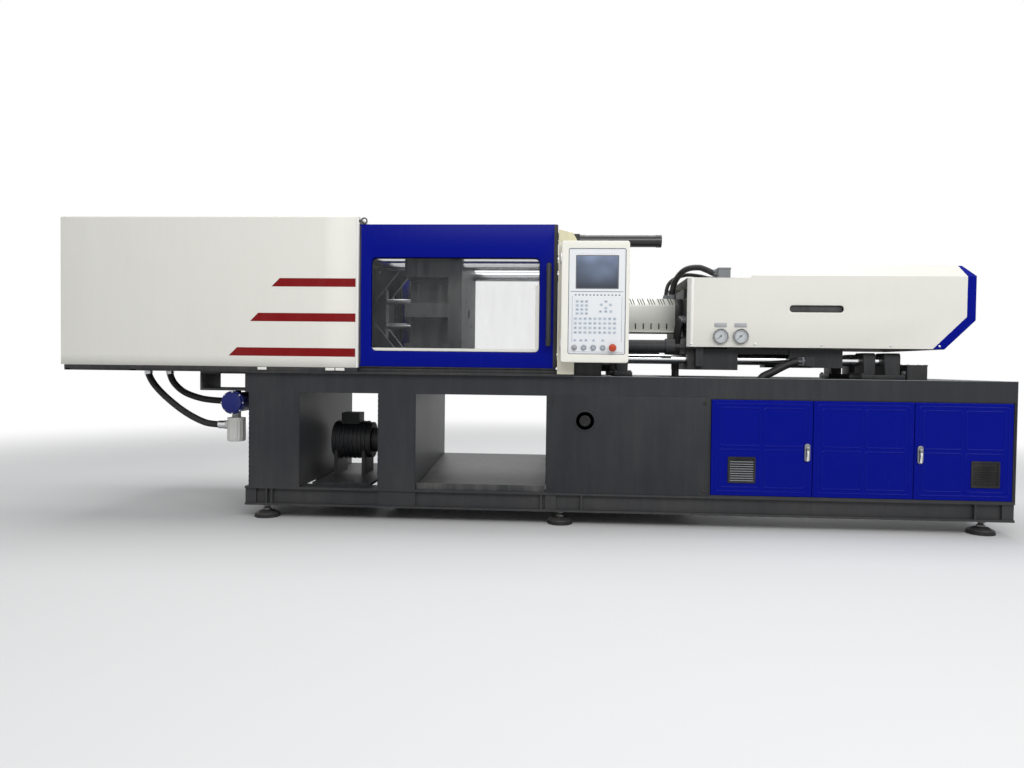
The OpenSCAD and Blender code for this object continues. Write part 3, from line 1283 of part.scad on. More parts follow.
// Corrugated conduit from the barrel's guard to the deck's junction box, and the hoses into the bed
conduit_d = 36;
box_x = [inj_x[0] + 198, inj_x[0] + 268];
box_y = [-240, -140];
box_z = deck_z + 76;
guard_top = axis_z + barrel_guard_s / 2 + seat_gap;
conduit = [[inj_x[0] - 34, -38, guard_top], [inj_x[0] - 34, -38, guard_top + 30], [inj_x[0] - 22, -90, deck_z + 16],
    [inj_x[0] + 23, -150, deck_z + 72], [inj_x[0] + 93, -185, deck_z + 82], [inj_x[0] + 148, -190, deck_z + 64],
    [box_x[0] - 25, -190, deck_z + 51], [box_x[0] - seat_gap, -190, deck_z + 51]];
signal_d = 24;
signal = [[inj_x[0] - 67, -15, guard_top], [inj_x[0] - 67, -15, guard_top + 26], [inj_x[0] - 56, -30, deck_z - 4],
    [inj_x[0] - 19, -52, deck_z + 32], [inj_x[0] + 43, -88, deck_z + 50], [inj_x[0] + 108, -120, deck_z + 41],
    [inj_x[0] + 148, -145, deck_z + 28], [box_x[0] - 25, -157, deck_z + 22],
    [box_x[0] - seat_gap, -157, deck_z + 22]];
bundle_top = [carriage_x[0] - seat_gap, -230, axis_z - 40];
bundle = [[0, 0, 0], [-18, 0, 0], [-36, 8, -60], [-42, 30, -160], [-42, 52, -260], [-40, 60, -360], [-40, 60, -400]];
drain_d = 44;
drain_x = rear_shoe_x[0] + 72 - seat_gap;
drain = [[drain_x, drain_y, drain_z], [drain_x - 34, drain_y, drain_z], [drain_x - 98, drain_y, drain_z - 22],
    [drain_x - 172, drain_y, drain_z - 62], [drain_x - 226, drain_y, bed_top + 4], [drain_x - 244, drain_y, bed_top - 40],
    [drain_x - 246, drain_y, bed_top - 80]];
module hydraulic_conduits() {
    color("#17181a") machine() {
        hose(route(conduit, 3), conduit_d);
        hose(route(signal, 3), signal_d);
        hose(route(drain, 3), drain_d);
        for (i = [0:2]) hose(route([for (p = bundle) bundle_top + p + [0, 42 * i, 8 * i]], 3), 30);
    }
}

// Terminal box of the injection unit's sensors, on the bed behind the rear pedestals
module terminal_box() {
    box_w = [108, 100];
    x0 = fixed_back + 1685;
    y0 = -340;
    lid = 6;
    color("#1c1d1f") machine() {
        difference() {
            block([x0, y0, bed_top], [x0 + box_w[0], y0 + box_w[1], bed_top + 83 - lid]);
            block([x0 + sheet, y0 + sheet, bed_top + sheet], [x0 + box_w[0] - sheet, y0 + box_w[1] - sheet, bed_top + 83]);
        }
        block([x0 - 2, y0 - 2, bed_top + 83 - lid - 0.5], [x0 + box_w[0] + 2, y0 + box_w[1] + 2, bed_top + 83]);
        rod_x(22, x0 - 22, x0 + 1, y0 + 30, bed_top + 36);
    }
}

bed_frame();
access_panel();
levelling_feet();
drop_chute();
oil_tank();
pump_unit();
oil_cooler();
clamp_hoses();
cabinet_shell();
cabinet_door_left();
cabinet_middle_panel();
cabinet_door_right();
latch_left();
latch_right();
control_gear();
fixed_platen();
tie_bars();
moving_platen();
tail_platen();
height_nuts();
clamp_cylinder();
piston_rod();
crosshead();
guide_pins();
tail_toggle_pins();
front_toggle_pins();
rear_links_upper();
rear_links_lower();
front_links_upper();
front_links_lower();
crosshead_links_upper();
crosshead_links_lower();
ejector_cylinder();
ejector_rod();
safety_bar();
safety_bar_tube();
guard_frame();
clamp_cover();
front_door();
front_window();
rear_door();
rear_window();
panel_housing();
emergency_stop();
start_button();
stop_button();
heater_button();
key_switch();
guide_rods();
carriage();
barrel();
barrel_guard();
screw();
thrust_unit();
carriage_cylinders();
injection_cover();
pressure_gauges();
gauge_needle_left();
gauge_needle_right();
hydraulic_conduits();
terminal_box();
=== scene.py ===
# Injection moulding machine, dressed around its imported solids.
# The row frame has the floor at z = 0, +x towards the injection end and +y towards the rear.
import bpy
import math
import numpy as np
from mathutils import Matrix, Vector


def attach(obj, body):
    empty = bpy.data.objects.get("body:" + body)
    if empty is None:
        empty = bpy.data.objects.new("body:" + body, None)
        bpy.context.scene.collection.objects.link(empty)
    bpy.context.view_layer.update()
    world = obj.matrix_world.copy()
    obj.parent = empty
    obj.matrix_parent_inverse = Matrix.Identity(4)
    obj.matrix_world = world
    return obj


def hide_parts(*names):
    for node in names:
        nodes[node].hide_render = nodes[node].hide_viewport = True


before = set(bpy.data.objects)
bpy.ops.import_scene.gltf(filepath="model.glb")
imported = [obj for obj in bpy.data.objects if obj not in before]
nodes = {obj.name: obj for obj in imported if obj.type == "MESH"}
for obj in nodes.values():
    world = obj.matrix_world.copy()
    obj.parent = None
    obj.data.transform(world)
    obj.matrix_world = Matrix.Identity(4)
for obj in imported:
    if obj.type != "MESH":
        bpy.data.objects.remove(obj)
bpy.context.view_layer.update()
# The clamp's centreline lies this many metres behind the middle of the row frame.
AXIS_Y = 0.0475


# Camera and studio: a wide lens at chest height on the operator's side, a pale floor and soft
# lamps overhead and in front, as in a workshop hall with rows of ceiling lights.
def camera_matrix(place, yaw, pitch, roll):
    """Matrix of a camera that looks along +y turned left by yaw, down by pitch and rolled clockwise."""
    forward = Vector((-math.sin(yaw) * math.cos(pitch), math.cos(yaw) * math.cos(pitch), -math.sin(pitch)))
    right = Vector((math.cos(yaw), math.sin(yaw), 0))
    up = right.cross(forward)
    level_right = right * math.cos(roll) + up * math.sin(roll)
    level_up = up * math.cos(roll) - right * math.sin(roll)
    turn = Matrix((level_right, level_up, -forward)).transposed().to_4x4()
    return Matrix.Translation(place) @ turn


SENSOR_MM, FOCAL_PX, PICTURE_PX = 36.0, 750, 1024
YAW, PITCH, ROLL = math.radians(3.51), math.radians(1.37), math.radians(0.69)
camera_data = bpy.data.cameras.new("camera")
camera_data.lens = SENSOR_MM * FOCAL_PX / PICTURE_PX
camera_data.sensor_width = SENSOR_MM
camera = bpy.data.objects.new("camera", camera_data)
bpy.context.scene.collection.objects.link(camera)
camera.matrix_world = camera_matrix((0.190, -4.622 + AXIS_Y, 0.870), YAW, PITCH, ROLL)
bpy.context.scene.camera = camera
bpy.context.scene.view_settings.view_transform = "Standard"


def mesh_object(name, points, faces, edge_angle=35):
    """A smooth mesh object at the origin from its points and faces, sharp at edges past edge_angle."""
    mesh = bpy.data.meshes.new(name)
    mesh.from_pydata(np.asarray(points, float).tolist(), [], faces)
    mesh.update()
    made = bpy.data.objects.new(name, mesh)
    bpy.context.scene.collection.objects.link(made)
    mesh.polygons.foreach_set("use_smooth", np.ones(len(mesh.polygons), bool))
    mesh.set_sharp_from_angle(angle=math.radians(edge_angle))
    return made


def add_node(tree, kind, settings=None, values=None, links=None):
    """A node with its settings, its sockets' values and the outputs that are linked into it."""
    made = tree.nodes.new(kind)
    for key, value in (settings or {}).items():
        setattr(made, key, value)
    set_sockets(made, values or {})
    for key, source in (links or {}).items():
        tree.links.new(source, made.inputs[key])
    return made


def set_sockets(node, values):
    """Sets a node's own input sockets from a table of values."""
    for key, value in values.items():
        node.inputs[key].default_value = value


def combine(tree, operation, first, second, clamp=False):
    """The result of a maths node on two linked values."""
    settings = {"operation": operation, "use_clamp": clamp}
    return add_node(tree, "ShaderNodeMath", settings, links={0: first, 1: second}).outputs[0]


def new_material(name):
    """A new material with its node tree and the shader in it."""
    made = bpy.data.materials.new(name)
    made.use_nodes = True
    return made, made.node_tree, made.node_tree.nodes["Principled BSDF"]


# The floor is matt and keeps the shadows near the machine, and turns plain white in the distance.
FLOOR_HALF = 14.0
FADE_FROM, FADE_TO = 3.6, 8.0
floor_matt, tree, shader = new_material("floor")
set_sockets(shader, {"Base Color": (0.66, 0.66, 0.66, 1), "Roughness": 0.85})
floor_place = add_node(tree, "ShaderNodeTexCoord").outputs["Object"]
far = add_node(tree, "ShaderNodeVectorMath", {"operation": "LENGTH"}, links={0: floor_place})
fade = add_node(tree, "ShaderNodeMapRange", {"interpolation_type": "SMOOTHSTEP"},
                {"From Min": FADE_FROM, "From Max": FADE_TO}, {"Value": far.outputs["Value"]})
rays = add_node(tree, "ShaderNodeLightPath").outputs
seen = combine(tree, "MAXIMUM", rays["Is Camera Ray"], rays["Is Glossy Ray"])
share = combine(tree, "MULTIPLY", seen, fade.outputs[0])
glow = add_node(tree, "ShaderNodeEmission")
mix = add_node(tree, "ShaderNodeMixShader", links={0: share, 1: shader.outputs[0], 2: glow.outputs[0]})
tree.links.new(mix.outputs[0], tree.nodes["Material Output"].inputs["Surface"])
floor_corners = [(-FLOOR_HALF, -FLOOR_HALF, 0), (FLOOR_HALF, -FLOOR_HALF, 0),
                 (FLOOR_HALF, FLOOR_HALF, 0), (-FLOOR_HALF, FLOOR_HALF, 0)]
floor = mesh_object("floor", floor_corners, [(0, 1, 2, 3)])
floor.data.materials.append(floor_matt)

world = bpy.data.worlds.new("hall")
bpy.context.scene.world = world
world.use_nodes = True
sky = world.node_tree
hall_light = sky.nodes["Background"]
set_sockets(hall_light, {"Color": (0.95, 0.97, 1.0, 1), "Strength": 0.38})
white = add_node(sky, "ShaderNodeBackground", values={"Color": (1, 1, 1, 1), "Strength": 1.0})
rays = add_node(sky, "ShaderNodeLightPath").outputs
seen = combine(sky, "MAXIMUM", rays["Is Camera Ray"], rays["Is Glossy Ray"])
seen_white = combine(sky, "MAXIMUM", seen, rays["Is Transmission Ray"])
choose = add_node(sky, "ShaderNodeMixShader",
                  links={0: seen_white, 1: hall_light.outputs[0], 2: white.outputs[0]})
sky.links.new(choose.outputs[0], sky.nodes["World Output"].inputs["Surface"])

# Rectangular soft lamps: where each hangs, what it shines at, its size and its watts.
for name, place, aim, size, watts in (
        ("lamp_front", (0.7, -5.5, 4.0), (0.3, 0, 0.8), (5.0, 2.0), 190),
        ("lamp_right", (4.8, -3.6, 3.8), (1.0, 0, 0.8), (2.5, 2.0), 70),
        ("lamp_above", (0, 0.6, 5.2), (0, 0, 0), (7.0, 2.5), 180),
        ("lamp_rear", (0.5, 5.0, 4.2), (0, 0, 0.9), (6.0, 1.5), 100)):
    lamp_data = bpy.data.lights.new(name, "AREA")
    lamp_data.shape = "RECTANGLE"
    lamp_data.size, lamp_data.size_y = size
    lamp_data.energy = watts
    lamp = bpy.data.objects.new(name, lamp_data)
    bpy.context.scene.collection.objects.link(lamp)
    lamp.location = place
    lamp.rotation_euler = (Vector(aim) - Vector(place)).to_track_quat("-Z", "Y").to_euler()


# Bed: welded from rolled channel, plate and folded boxes, and painted dark grey all over.
# The paint is a thick spray coat with a fine orange peel, dusty and rubbed near the floor.
def node_group(name, inputs, outputs):
    """A shader node group with named sockets: its tree, its inputs and its output node."""
    tree = bpy.data.node_groups.new(name, "ShaderNodeTree")
    for label, kind, value in inputs:
        socket = tree.interface.new_socket(label, in_out="INPUT", socket_type=kind)
        socket.default_value = value
    for label, kind in outputs:
        tree.interface.new_socket(label, in_out="OUTPUT", socket_type=kind)
    return tree, tree.nodes.new("NodeGroupInput").outputs, tree.nodes.new("NodeGroupOutput")


FLOAT, COLOUR, VECTOR = "NodeSocketFloat", "NodeSocketColor", "NodeSocketVector"
RUBBED_FROM, RUBBED_TO = 0.45, 0.02
stains, given, stains_out = node_group(
    "Dust and stains",
    [("Colour", COLOUR, (0.5, 0.5, 0.5, 1)), ("Dust", COLOUR, (0.3, 0.28, 0.25, 1)),
     ("Amount", FLOAT, 0.2), ("Scale", FLOAT, 3.0), ("Floor dust", FLOAT, 0.0)],
    [("Colour", COLOUR), ("Mask", FLOAT)])
place = add_node(stains, "ShaderNodeTexCoord").outputs["Object"]
broad = add_node(stains, "ShaderNodeTexNoise", values={"Detail": 5.0, "Roughness": 0.62},
                 links={"Vector": place, "Scale": given["Scale"]}).outputs["Fac"]
upright = add_node(stains, "ShaderNodeMapping", values={"Scale": (9.0, 9.0, 1.1)}, links={"Vector": place})
runs = add_node(stains, "ShaderNodeTexNoise", values={"Scale": 2.2, "Detail": 4.0, "Roughness": 0.7},
                links={"Vector": upright.outputs[0]}).outputs["Fac"]
spread = add_node(stains, "ShaderNodeMapRange", values={"From Min": 0.17, "From Max": 0.42},
                  links={"Value": combine(stains, "MULTIPLY", broad, runs)})
height = add_node(stains, "ShaderNodeSeparateXYZ", links={0: place}).outputs["Z"]
low = add_node(stains, "ShaderNodeMapRange", values={"From Min": RUBBED_FROM, "From Max": RUBBED_TO},
               links={"Value": height})
on_floor = combine(stains, "MULTIPLY", combine(stains, "MULTIPLY", low.outputs[0], broad),
                   given["Floor dust"])
total = combine(stains, "ADD", combine(stains, "MULTIPLY", spread.outputs[0], given["Amount"]), on_floor,
                True)
mixed = add_node(stains, "ShaderNodeMix", {"data_type": "RGBA"},
                 links={0: total, 6: given["Colour"], 7: given["Dust"]})
stains.links.new(mixed.outputs[2], stains_out.inputs["Colour"])
stains.links.new(total, stains_out.inputs["Mask"])

peel, given, peel_out = node_group("Orange peel", [("Scale", FLOAT, 260.0), ("Height", FLOAT, 0.1)],
                                   [("Normal", VECTOR)])
place = add_node(peel, "ShaderNodeTexCoord").outputs["Object"]
bumps = add_node(peel, "ShaderNodeTexNoise", values={"Detail": 2.0},
                 links={"Vector": place, "Scale": given["Scale"]})
peel_bump = add_node(peel, "ShaderNodeBump", values={"Distance": 0.001},
                     links={"Height": bumps.outputs["Fac"], "Strength": given["Height"]})
peel.links.new(peel_bump.outputs[0], peel_out.inputs["Normal"])


def paint(name, colour, rough, peel_height=0.12, peel_scale=260.0, dust=(0.30, 0.28, 0.25), amount=0.15,
          stain_scale=3.0, floor_dust=0.0, metallic=0.0, specular=0.3):
    """A sprayed or cast finish: one colour with dust and runs on it, and a grain that breaks highlights."""
    made, tree, shader = new_material(name)
    dusty = add_node(tree, "ShaderNodeGroup", {"node_tree": stains},
                     {"Colour": (*colour, 1), "Dust": (*dust, 1), "Amount": amount, "Scale": stain_scale,
                      "Floor dust": floor_dust})
    grain = add_node(tree, "ShaderNodeGroup", {"node_tree": peel},
                     {"Scale": peel_scale, "Height": peel_height})
    duller = add_node(tree, "ShaderNodeMapRange", values={"To Min": rough, "To Max": min(1.0, rough + 0.3)},
                      links={"Value": dusty.outputs["Mask"]})
    tree.links.new(dusty.outputs["Colour"], shader.inputs["Base Color"])
    tree.links.new(duller.outputs[0], shader.inputs["Roughness"])
    tree.links.new(grain.outputs["Normal"], shader.inputs["Normal"])
    set_sockets(shader, {"Metallic": metallic, "Specular IOR Level": specular})
    return made


def wear(material, *names):
    """Gives each named CAD node this material in place of its own."""
    for name in names:
        slots = nodes[name].data.materials
        slots.clear()
        slots.append(material)


bed_paint = paint("bed paint", (0.0235, 0.0255, 0.0295), 0.42, amount=0.10, specular=0.2, floor_dust=0.25,
                  dust=(0.16, 0.15, 0.135), stain_scale=1.6)
wear(bed_paint, "bed_frame", "cabinet_shell")
wear(paint("tank paint", (0.03, 0.032, 0.035), 0.45, amount=0.3), "oil_tank", "drop_chute")


# Clamp cover: one box of 3 mm sheet, bent over rounded edges and welded at its left end, powder
# coated warm white. It hangs over the guard frame and stays open below and to the right.
def in_row(points_mm):
    """Points in millimetres about the clamp's centreline, as metres in the row frame."""
    return np.asarray(points_mm, float) / 1000 + (0, AXIS_Y, 0)


def grid_faces(rows, columns, wrap):
    """Quads of a grid of rows by columns, joined round along the columns where it wraps."""
    i = np.arange(rows - 1)[:, None]
    j = np.arange(columns if wrap else columns - 1)[None, :]
    next_j = (j + 1) % columns
    corners = [i * columns + j, i * columns + next_j, (i + 1) * columns + next_j, (i + 1) * columns + j]
    return np.stack([np.broadcast_to(c, (i.size, j.size)) for c in corners], -1).reshape(-1, 4)


def finish_piece(piece, material, body, stands_for):
    """Gives a piece its material and body, and hides the CAD nodes that it stands for."""
    piece.data.materials.append(material)
    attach(piece, body)
    if stands_for:
        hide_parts(*stands_for)


def sheet_piece(name, grid, material, body, stands_for=(), wrap=False, thick=0.0, cap_last=False,
                flip=False, edge_angle=35):
    """A sheet from an array of rows by columns by 3, thick millimetres inwards from its outer skin."""
    rows, columns = grid.shape[:2]
    faces = grid_faces(rows, columns, wrap).tolist()
    if cap_last:
        faces.append([(rows - 1) * columns + k for k in range(columns)])
    if flip:
        faces = [face[::-1] for face in faces]
    piece = mesh_object(name, in_row(grid.reshape(-1, 3)), faces, edge_angle)
    if thick:
        wall = piece.modifiers.new("wall", "SOLIDIFY")
        wall.thickness = thick / 1000
        wall.offset = -1
    finish_piece(piece, material, body, stands_for)


def solids_piece(name, grids, material, body, stands_for=(), edge_angle=35):
    """Closed solids in one mesh: each is a stack of rings, capped at both ends and turned outwards."""
    points, faces, first = [], [], 0
    for grid in grids:
        rows, columns = grid.shape[:2]
        quads = grid_faces(rows, columns, True)
        flat = grid.reshape(-1, 3)
        centre = flat.mean(0)
        a, b, c, d = (flat[quads[:, k]] - centre for k in range(4))
        volume = (a * np.cross(b, c)).sum() + (a * np.cross(c, d)).sum()
        made = quads.tolist() + [list(range(columns))[::-1],
                                 [(rows - 1) * columns + k for k in range(columns)]]
        if volume < 0:
            made = [face[::-1] for face in made]
        faces += [[index + first for index in face] for face in made]
        points.append(flat)
        first += rows * columns
    piece = mesh_object(name, in_row(np.concatenate(points)), faces, edge_angle)
    finish_piece(piece, material, body, stands_for)


def arc(centre, radius, start, stop, steps):
    """Points on a circle: centre plus radius times (cosine, sine), from start to stop degrees."""
    angle = np.radians(np.linspace(start, stop, steps))
    return np.stack([centre[0] + radius * np.cos(angle), centre[1] + radius * np.sin(angle)], -1)


def quarter(radius, steps):
    """Pairs of radius times (1 - sine, 1 - cosine) over a right angle, for a rounded edge."""
    return [(radius * (1 - math.sin(a)), radius * (1 - math.cos(a)))
            for a in np.radians(np.linspace(0, 90, steps))]


def round_ring(low, high, radius, inset=0.0, steps=5):
    """A rounded rectangle between two corners, moved in by inset, as a ring of points."""
    (x0, z0), (x1, z1) = (low[0] + inset, low[1] + inset), (high[0] - inset, high[1] - inset)
    radius = max(radius - inset, 0.3)
    corners = [((x1 - radius, z1 - radius), 0), ((x0 + radius, z1 - radius), 90),
               ((x0 + radius, z0 + radius), 180), ((x1 - radius, z0 + radius), 270)]
    return np.concatenate([arc(centre, radius, start, start + 90, steps) for centre, start in corners])


def loft(rings, axis="y"):
    """Flat rings stacked along the axis, each a (ring, level): x keeps (y, z), y (x, z) and z (x, y)."""
    return np.stack([np.insert(ring, "xyz".index(axis), level, axis=1) for ring, level in rings])


def on_side(grid, side):
    """A grid drawn for the front: kept for side -1 and mirrored to the rear for side +1."""
    return grid * (1, -side, 1)


def both_sides(*grids):
    """The grids at the front, and then once more at the rear."""
    return [on_side(grid, side) for side in (-1, 1) for grid in grids]


def block(low, high, corner=2.0, edge=1.0, axis="y"):
    """A block: a rounded rectangle carried along the axis, with a small round on each end's edge."""
    keep = [k for k in range(3) if k != "xyz".index(axis)]
    start, stop = low["xyz".index(axis)], high["xyz".index(axis)]
    bend = quarter(edge, 4)
    rings = [(inset, start + depth) for inset, depth in bend]
    rings += [(inset, stop - depth) for inset, depth in bend[::-1]]
    flat_low, flat_high = [low[k] for k in keep], [high[k] for k in keep]
    return loft([(round_ring(flat_low, flat_high, corner, inset, 4), level) for inset, level in rings],
                axis)


def turned(profile, centre, axis="y", steps=28, phase=0.0):
    """A turned part: each (radius, level) of the profile swept round the axis through the centre."""
    keep = [k for k in range(3) if k != "xyz".index(axis)]
    angle = np.radians(phase) + np.linspace(0, 2 * math.pi, steps, endpoint=False)
    circle = np.stack([np.cos(angle), np.sin(angle)], -1)
    middle = np.array([centre[k] for k in keep])
    start = centre["xyz".index(axis)]
    return loft([(middle + max(radius, 0.05) * circle, start + level) for radius, level in profile], axis)


COVER_X, COVER_Z = (-2600, -907), (851, 1677)
GUARD_Y = 575
SHEET_EDGE_R = 9


def cover_section(inset):
    """The cover's bent sheet in y and z, moved in by inset: up, over the top and down again."""
    side, top, radius = GUARD_Y - inset, COVER_Z[1] - inset, max(SHEET_EDGE_R - inset, 0.5)
    right = arc((side - radius, top - radius), radius, 0, 90, 7)
    left = arc((-side + radius, top - radius), radius, 90, 180, 7)
    foot, hip = COVER_Z[0], COVER_Z[0] + 60
    return np.concatenate([[(side, foot), (side, hip)], right, left, [(-side, hip), (-side, foot)]])


# The section is carried along x and turned in round the left end.
cover_rings = [(cover_section(0), x) for x in (COVER_X[1], COVER_X[1] - 200, COVER_X[0] + 200)]
cover_rings += [(cover_section(inset), COVER_X[0] + x_in) for x_in, inset in quarter(SHEET_EDGE_R, 7)]
cover_paint = paint("cover paint", (0.765, 0.755, 0.70), 0.40, amount=0.08, dust=(0.50, 0.47, 0.41),
                    stain_scale=1.3, peel_height=0.08)
sheet_piece("clamp_cover_sheet", loft(cover_rings, "x"), cover_paint, "base",
            ["clamp_cover"], thick=3, cap_last=True, flip=True)

# The cover's open end has a folded hem, painted a little lighter than the cover as a painted highlight
# along its edge; small clips hold its lower edge to the rail, and three stripes of red vinyl film run up to
# the hem.
HEM_W = 10
HEM_X = (COVER_X[1] - HEM_W, COVER_X[1] + 1.2)
# Painted highlight: the hem's white is set a little lighter than the cover's, for the light caught along
# its edge.
hem_highlight_paint = paint("hem highlight paint", (0.80, 0.79, 0.75), 0.3, amount=0.05)
hem_blocks = [block((HEM_X[0], y - 12, COVER_Z[0] + 1), (HEM_X[1], y + 12, COVER_Z[1] - 8), 2, 1, "x")
              for y in (-564, 564)]
hem_blocks.append(block((HEM_X[0], -552, COVER_Z[1] - 12), (HEM_X[1], 552, COVER_Z[1] + 0.8), 2, 1, "x"))
solids_piece("cover_hem", hem_blocks, hem_highlight_paint, "base")
clips = [block((x - 25, -GUARD_Y - 2.5, COVER_Z[0] - 17), (x + 25, -GUARD_Y, COVER_Z[0] - 2), 2, 0.6)
         for x in (-1441, -1060, -1004)]
solids_piece("cover_clips", clips, hem_highlight_paint, "base")

stripe_red = paint("stripe film", (0.198, 0.002, 0.004), 0.38, amount=0.05, dust=(0.40, 0.2, 0.18),
                   specular=0.15, peel_height=0.03)
STRIPE_H = 46
STRIPE_END = HEM_X[0] - 3
for number, (z, long) in enumerate(((1292, 470), (1101, 590), (910, 710))):
    ring = np.array([(STRIPE_END - long, z), (STRIPE_END, z), (STRIPE_END, z + STRIPE_H),
                     (STRIPE_END - long + STRIPE_H, z + STRIPE_H)], float)
    film = loft([(ring, -GUARD_Y - 0.5), (ring, -GUARD_Y - 0.1)])
    solids_piece(f"cover_stripe_{number}", [film], stripe_red, "base")


# A black lifting eye is screwed into the hem at the top of the cover's open end, its ring upright.
def hose_grid(path, radii, sides=14):
    """A round hose: circles of the given radii, each square to the path, turned as little as possible."""
    path = np.asarray(path, float)
    radii = np.broadcast_to(radii, len(path))
    ahead = np.roll(path, -1, 0) - np.roll(path, 1, 0)
    ahead[0], ahead[-1] = path[1] - path[0], path[-1] - path[-2]
    ahead /= np.linalg.norm(ahead, axis=1)[:, None]
    helper = np.array([0, 0, 1.0]) if abs(ahead[0][2]) < 0.8 else np.array([1.0, 0, 0])
    across = np.cross(ahead[0], helper)
    angle = np.linspace(0, 2 * math.pi, sides, endpoint=False)
    rings = []
    for point, way, radius in zip(path, ahead, radii):
        across = across - way * (across @ way)
        across /= np.linalg.norm(across)
        up = np.cross(way, across)
        rings.append(point + radius * (np.cos(angle)[:, None] * across + np.sin(angle)[:, None] * up))
    return np.stack(rings)


EYE_X, EYE_Y, EYE_Z, EYE_R = -879, -560, 1654, 15
eye_angle = np.linspace(0, 2 * math.pi, 26, endpoint=False)
eye_ring = np.stack([EYE_X + EYE_R * np.cos(eye_angle), np.full(26, EYE_Y),
                     EYE_Z + EYE_R * np.sin(eye_angle)], -1)
eye_grid = hose_grid(np.concatenate([eye_ring, eye_ring[:1]]), 4, 10)
eye_shank = turned([(8, -1), (9, 0), (9, 5), (4, 6), (4, 13)], (HEM_X[1] - 0.7, EYE_Y, EYE_Z), "x")
eye_black = paint("black oxide", (0.018, 0.018, 0.02), 0.4, amount=0.2, peel_height=0.05)
solids_piece("lifting_eye", [eye_grid, eye_shank], eye_black, "base")


# Guard doors: a folded sheet tray each, painted ultramarine, with a rolled window opening. A clear
# plastic sheet sits behind it in a rubber profile with white strips, and a black tube handle is bolted on.
DOOR_X, DOOR_Z = (-947, 176), (860, 1637)
FACE_Y, BACK_Y = -552, -522
WINDOW_X, WINDOW_Z, WINDOW_R = (-840, 85), (944, 1457), 28
SILL_H = 20
HANDLE_X, HANDLE_Z = 134, (1010, 1390)
door_outline = (DOOR_X[0], DOOR_Z[0]), (DOOR_X[1], DOOR_Z[1]), 4
window_outline = (WINDOW_X[0], WINDOW_Z[0]), (WINDOW_X[1], WINDOW_Z[1])
blue_paint = paint("blue paint", (0.0004, 0.0046, 0.213), 0.26, amount=0.06, dust=(0.012, 0.02, 0.19),
                   specular=0.06, stain_scale=2.2, peel_height=0.05)
trim_white = paint("window profile", (0.74, 0.73, 0.67), 0.4, amount=0.12)
seal_black = paint("seal rubber", (0.012, 0.012, 0.013), 0.6, amount=0.15)
handle_black = paint("handle tube", (0.022, 0.024, 0.028), 0.32, amount=0.10, peel_height=0.05)
pane_sheet, tree, shader = new_material("window sheet")
dusty = add_node(tree, "ShaderNodeGroup", {"node_tree": stains},
                 {"Colour": (0.16, 0.18, 0.20, 1), "Dust": (0.42, 0.42, 0.40, 1), "Amount": 0.9,
                  "Scale": 1.6})
alpha = add_node(tree, "ShaderNodeMapRange", values={"To Min": 0.05, "To Max": 0.09},
                 links={"Value": dusty.outputs["Mask"]})
tree.links.new(dusty.outputs["Colour"], shader.inputs["Base Color"])
tree.links.new(alpha.outputs[0], shader.inputs["Alpha"])
set_sockets(shader, {"Roughness": 0.08, "Specular IOR Level": 0.22})

# The tray's skin runs from the rear lip round the outer fold, over the face and into the window.
door_rings = [(round_ring(*door_outline, inset), BACK_Y) for inset in (12, 0.4)]
door_rings += [(round_ring(*door_outline, inset), FACE_Y + depth) for depth, inset in quarter(2.5, 5)]
door_rings += [(round_ring(*window_outline, WINDOW_R, -out), FACE_Y + depth)
               for out, depth in quarter(5, 6)]
door_rings.append((round_ring(*window_outline, WINDOW_R), BACK_Y))
door_skin = loft(door_rings)
window_sheet = loft([(round_ring(*window_outline, 30, -12), BACK_Y + depth) for depth in (4.6, 0.4)])
window_trim = loft([(round_ring(*window_outline, WINDOW_R, inset), BACK_Y + depth) for inset, depth in
                    ((-2, -16), (-2, -1), (-4, 1.5), (3, 1.5), (5, 0), (5, -4), (3, -5), (3, -16))])
sill = round_ring(*window_outline, WINDOW_R, 3, 9)
sill = sill[sill[:, 1] < WINDOW_Z[0] + SILL_H]
sill = sill[np.argsort(sill[:, 0])]
upright = round_ring((WINDOW_X[1] - 24, WINDOW_Z[0] + SILL_H), (WINDOW_X[1] - 3, WINDOW_Z[1] - 148), 2)
strips = [loft([(sill, FACE_Y + 9), (sill, BACK_Y - 0.5)]),
          loft([(upright, FACE_Y + 13), (upright, BACK_Y - 0.5)])]
end_seal = block((DOOR_X[1] - 17, FACE_Y - 2.5, DOOR_Z[0] + 3),
                 (DOOR_X[1] + 4.5, BACK_Y - 3, DOOR_Z[1] - 3), 4, 3, "z")
# Painted shadow: a thin black strip along the door's left edge stands for the shadow in the gap beside the
# clamp cover.
gap_shadow_strip = block((DOOR_X[0] + 3, FACE_Y - 0.8, DOOR_Z[0] + 8),
                    (DOOR_X[0] + 50, FACE_Y + 2, DOOR_Z[1] - 8), 1, 0.4)
foot_brush = block((DOOR_X[0] + 2, FACE_Y + 3, DOOR_Z[0] - 8), (DOOR_X[1] - 2, BACK_Y - 12, DOOR_Z[0] + 1),
                   1, 0.5, "x")
grips = [hose_grid([(HANDLE_X, FACE_Y - 0.5, z), (HANDLE_X, -606, z)], 7, 16) for z in HANDLE_Z]
grips += [turned([(7, -9), (15, -5), (17, -1), (17, 0)], (HANDLE_X, FACE_Y, z)) for z in HANDLE_Z]
bar = ((976, 6), (980, 12.5), (986, 13), (1100, 13), (1300, 13), (1413, 13), (1419, 12.5), (1423, 6))
grips.append(hose_grid([(HANDLE_X, -607, z) for z, radius in bar], [radius for z, radius in bar], 20))
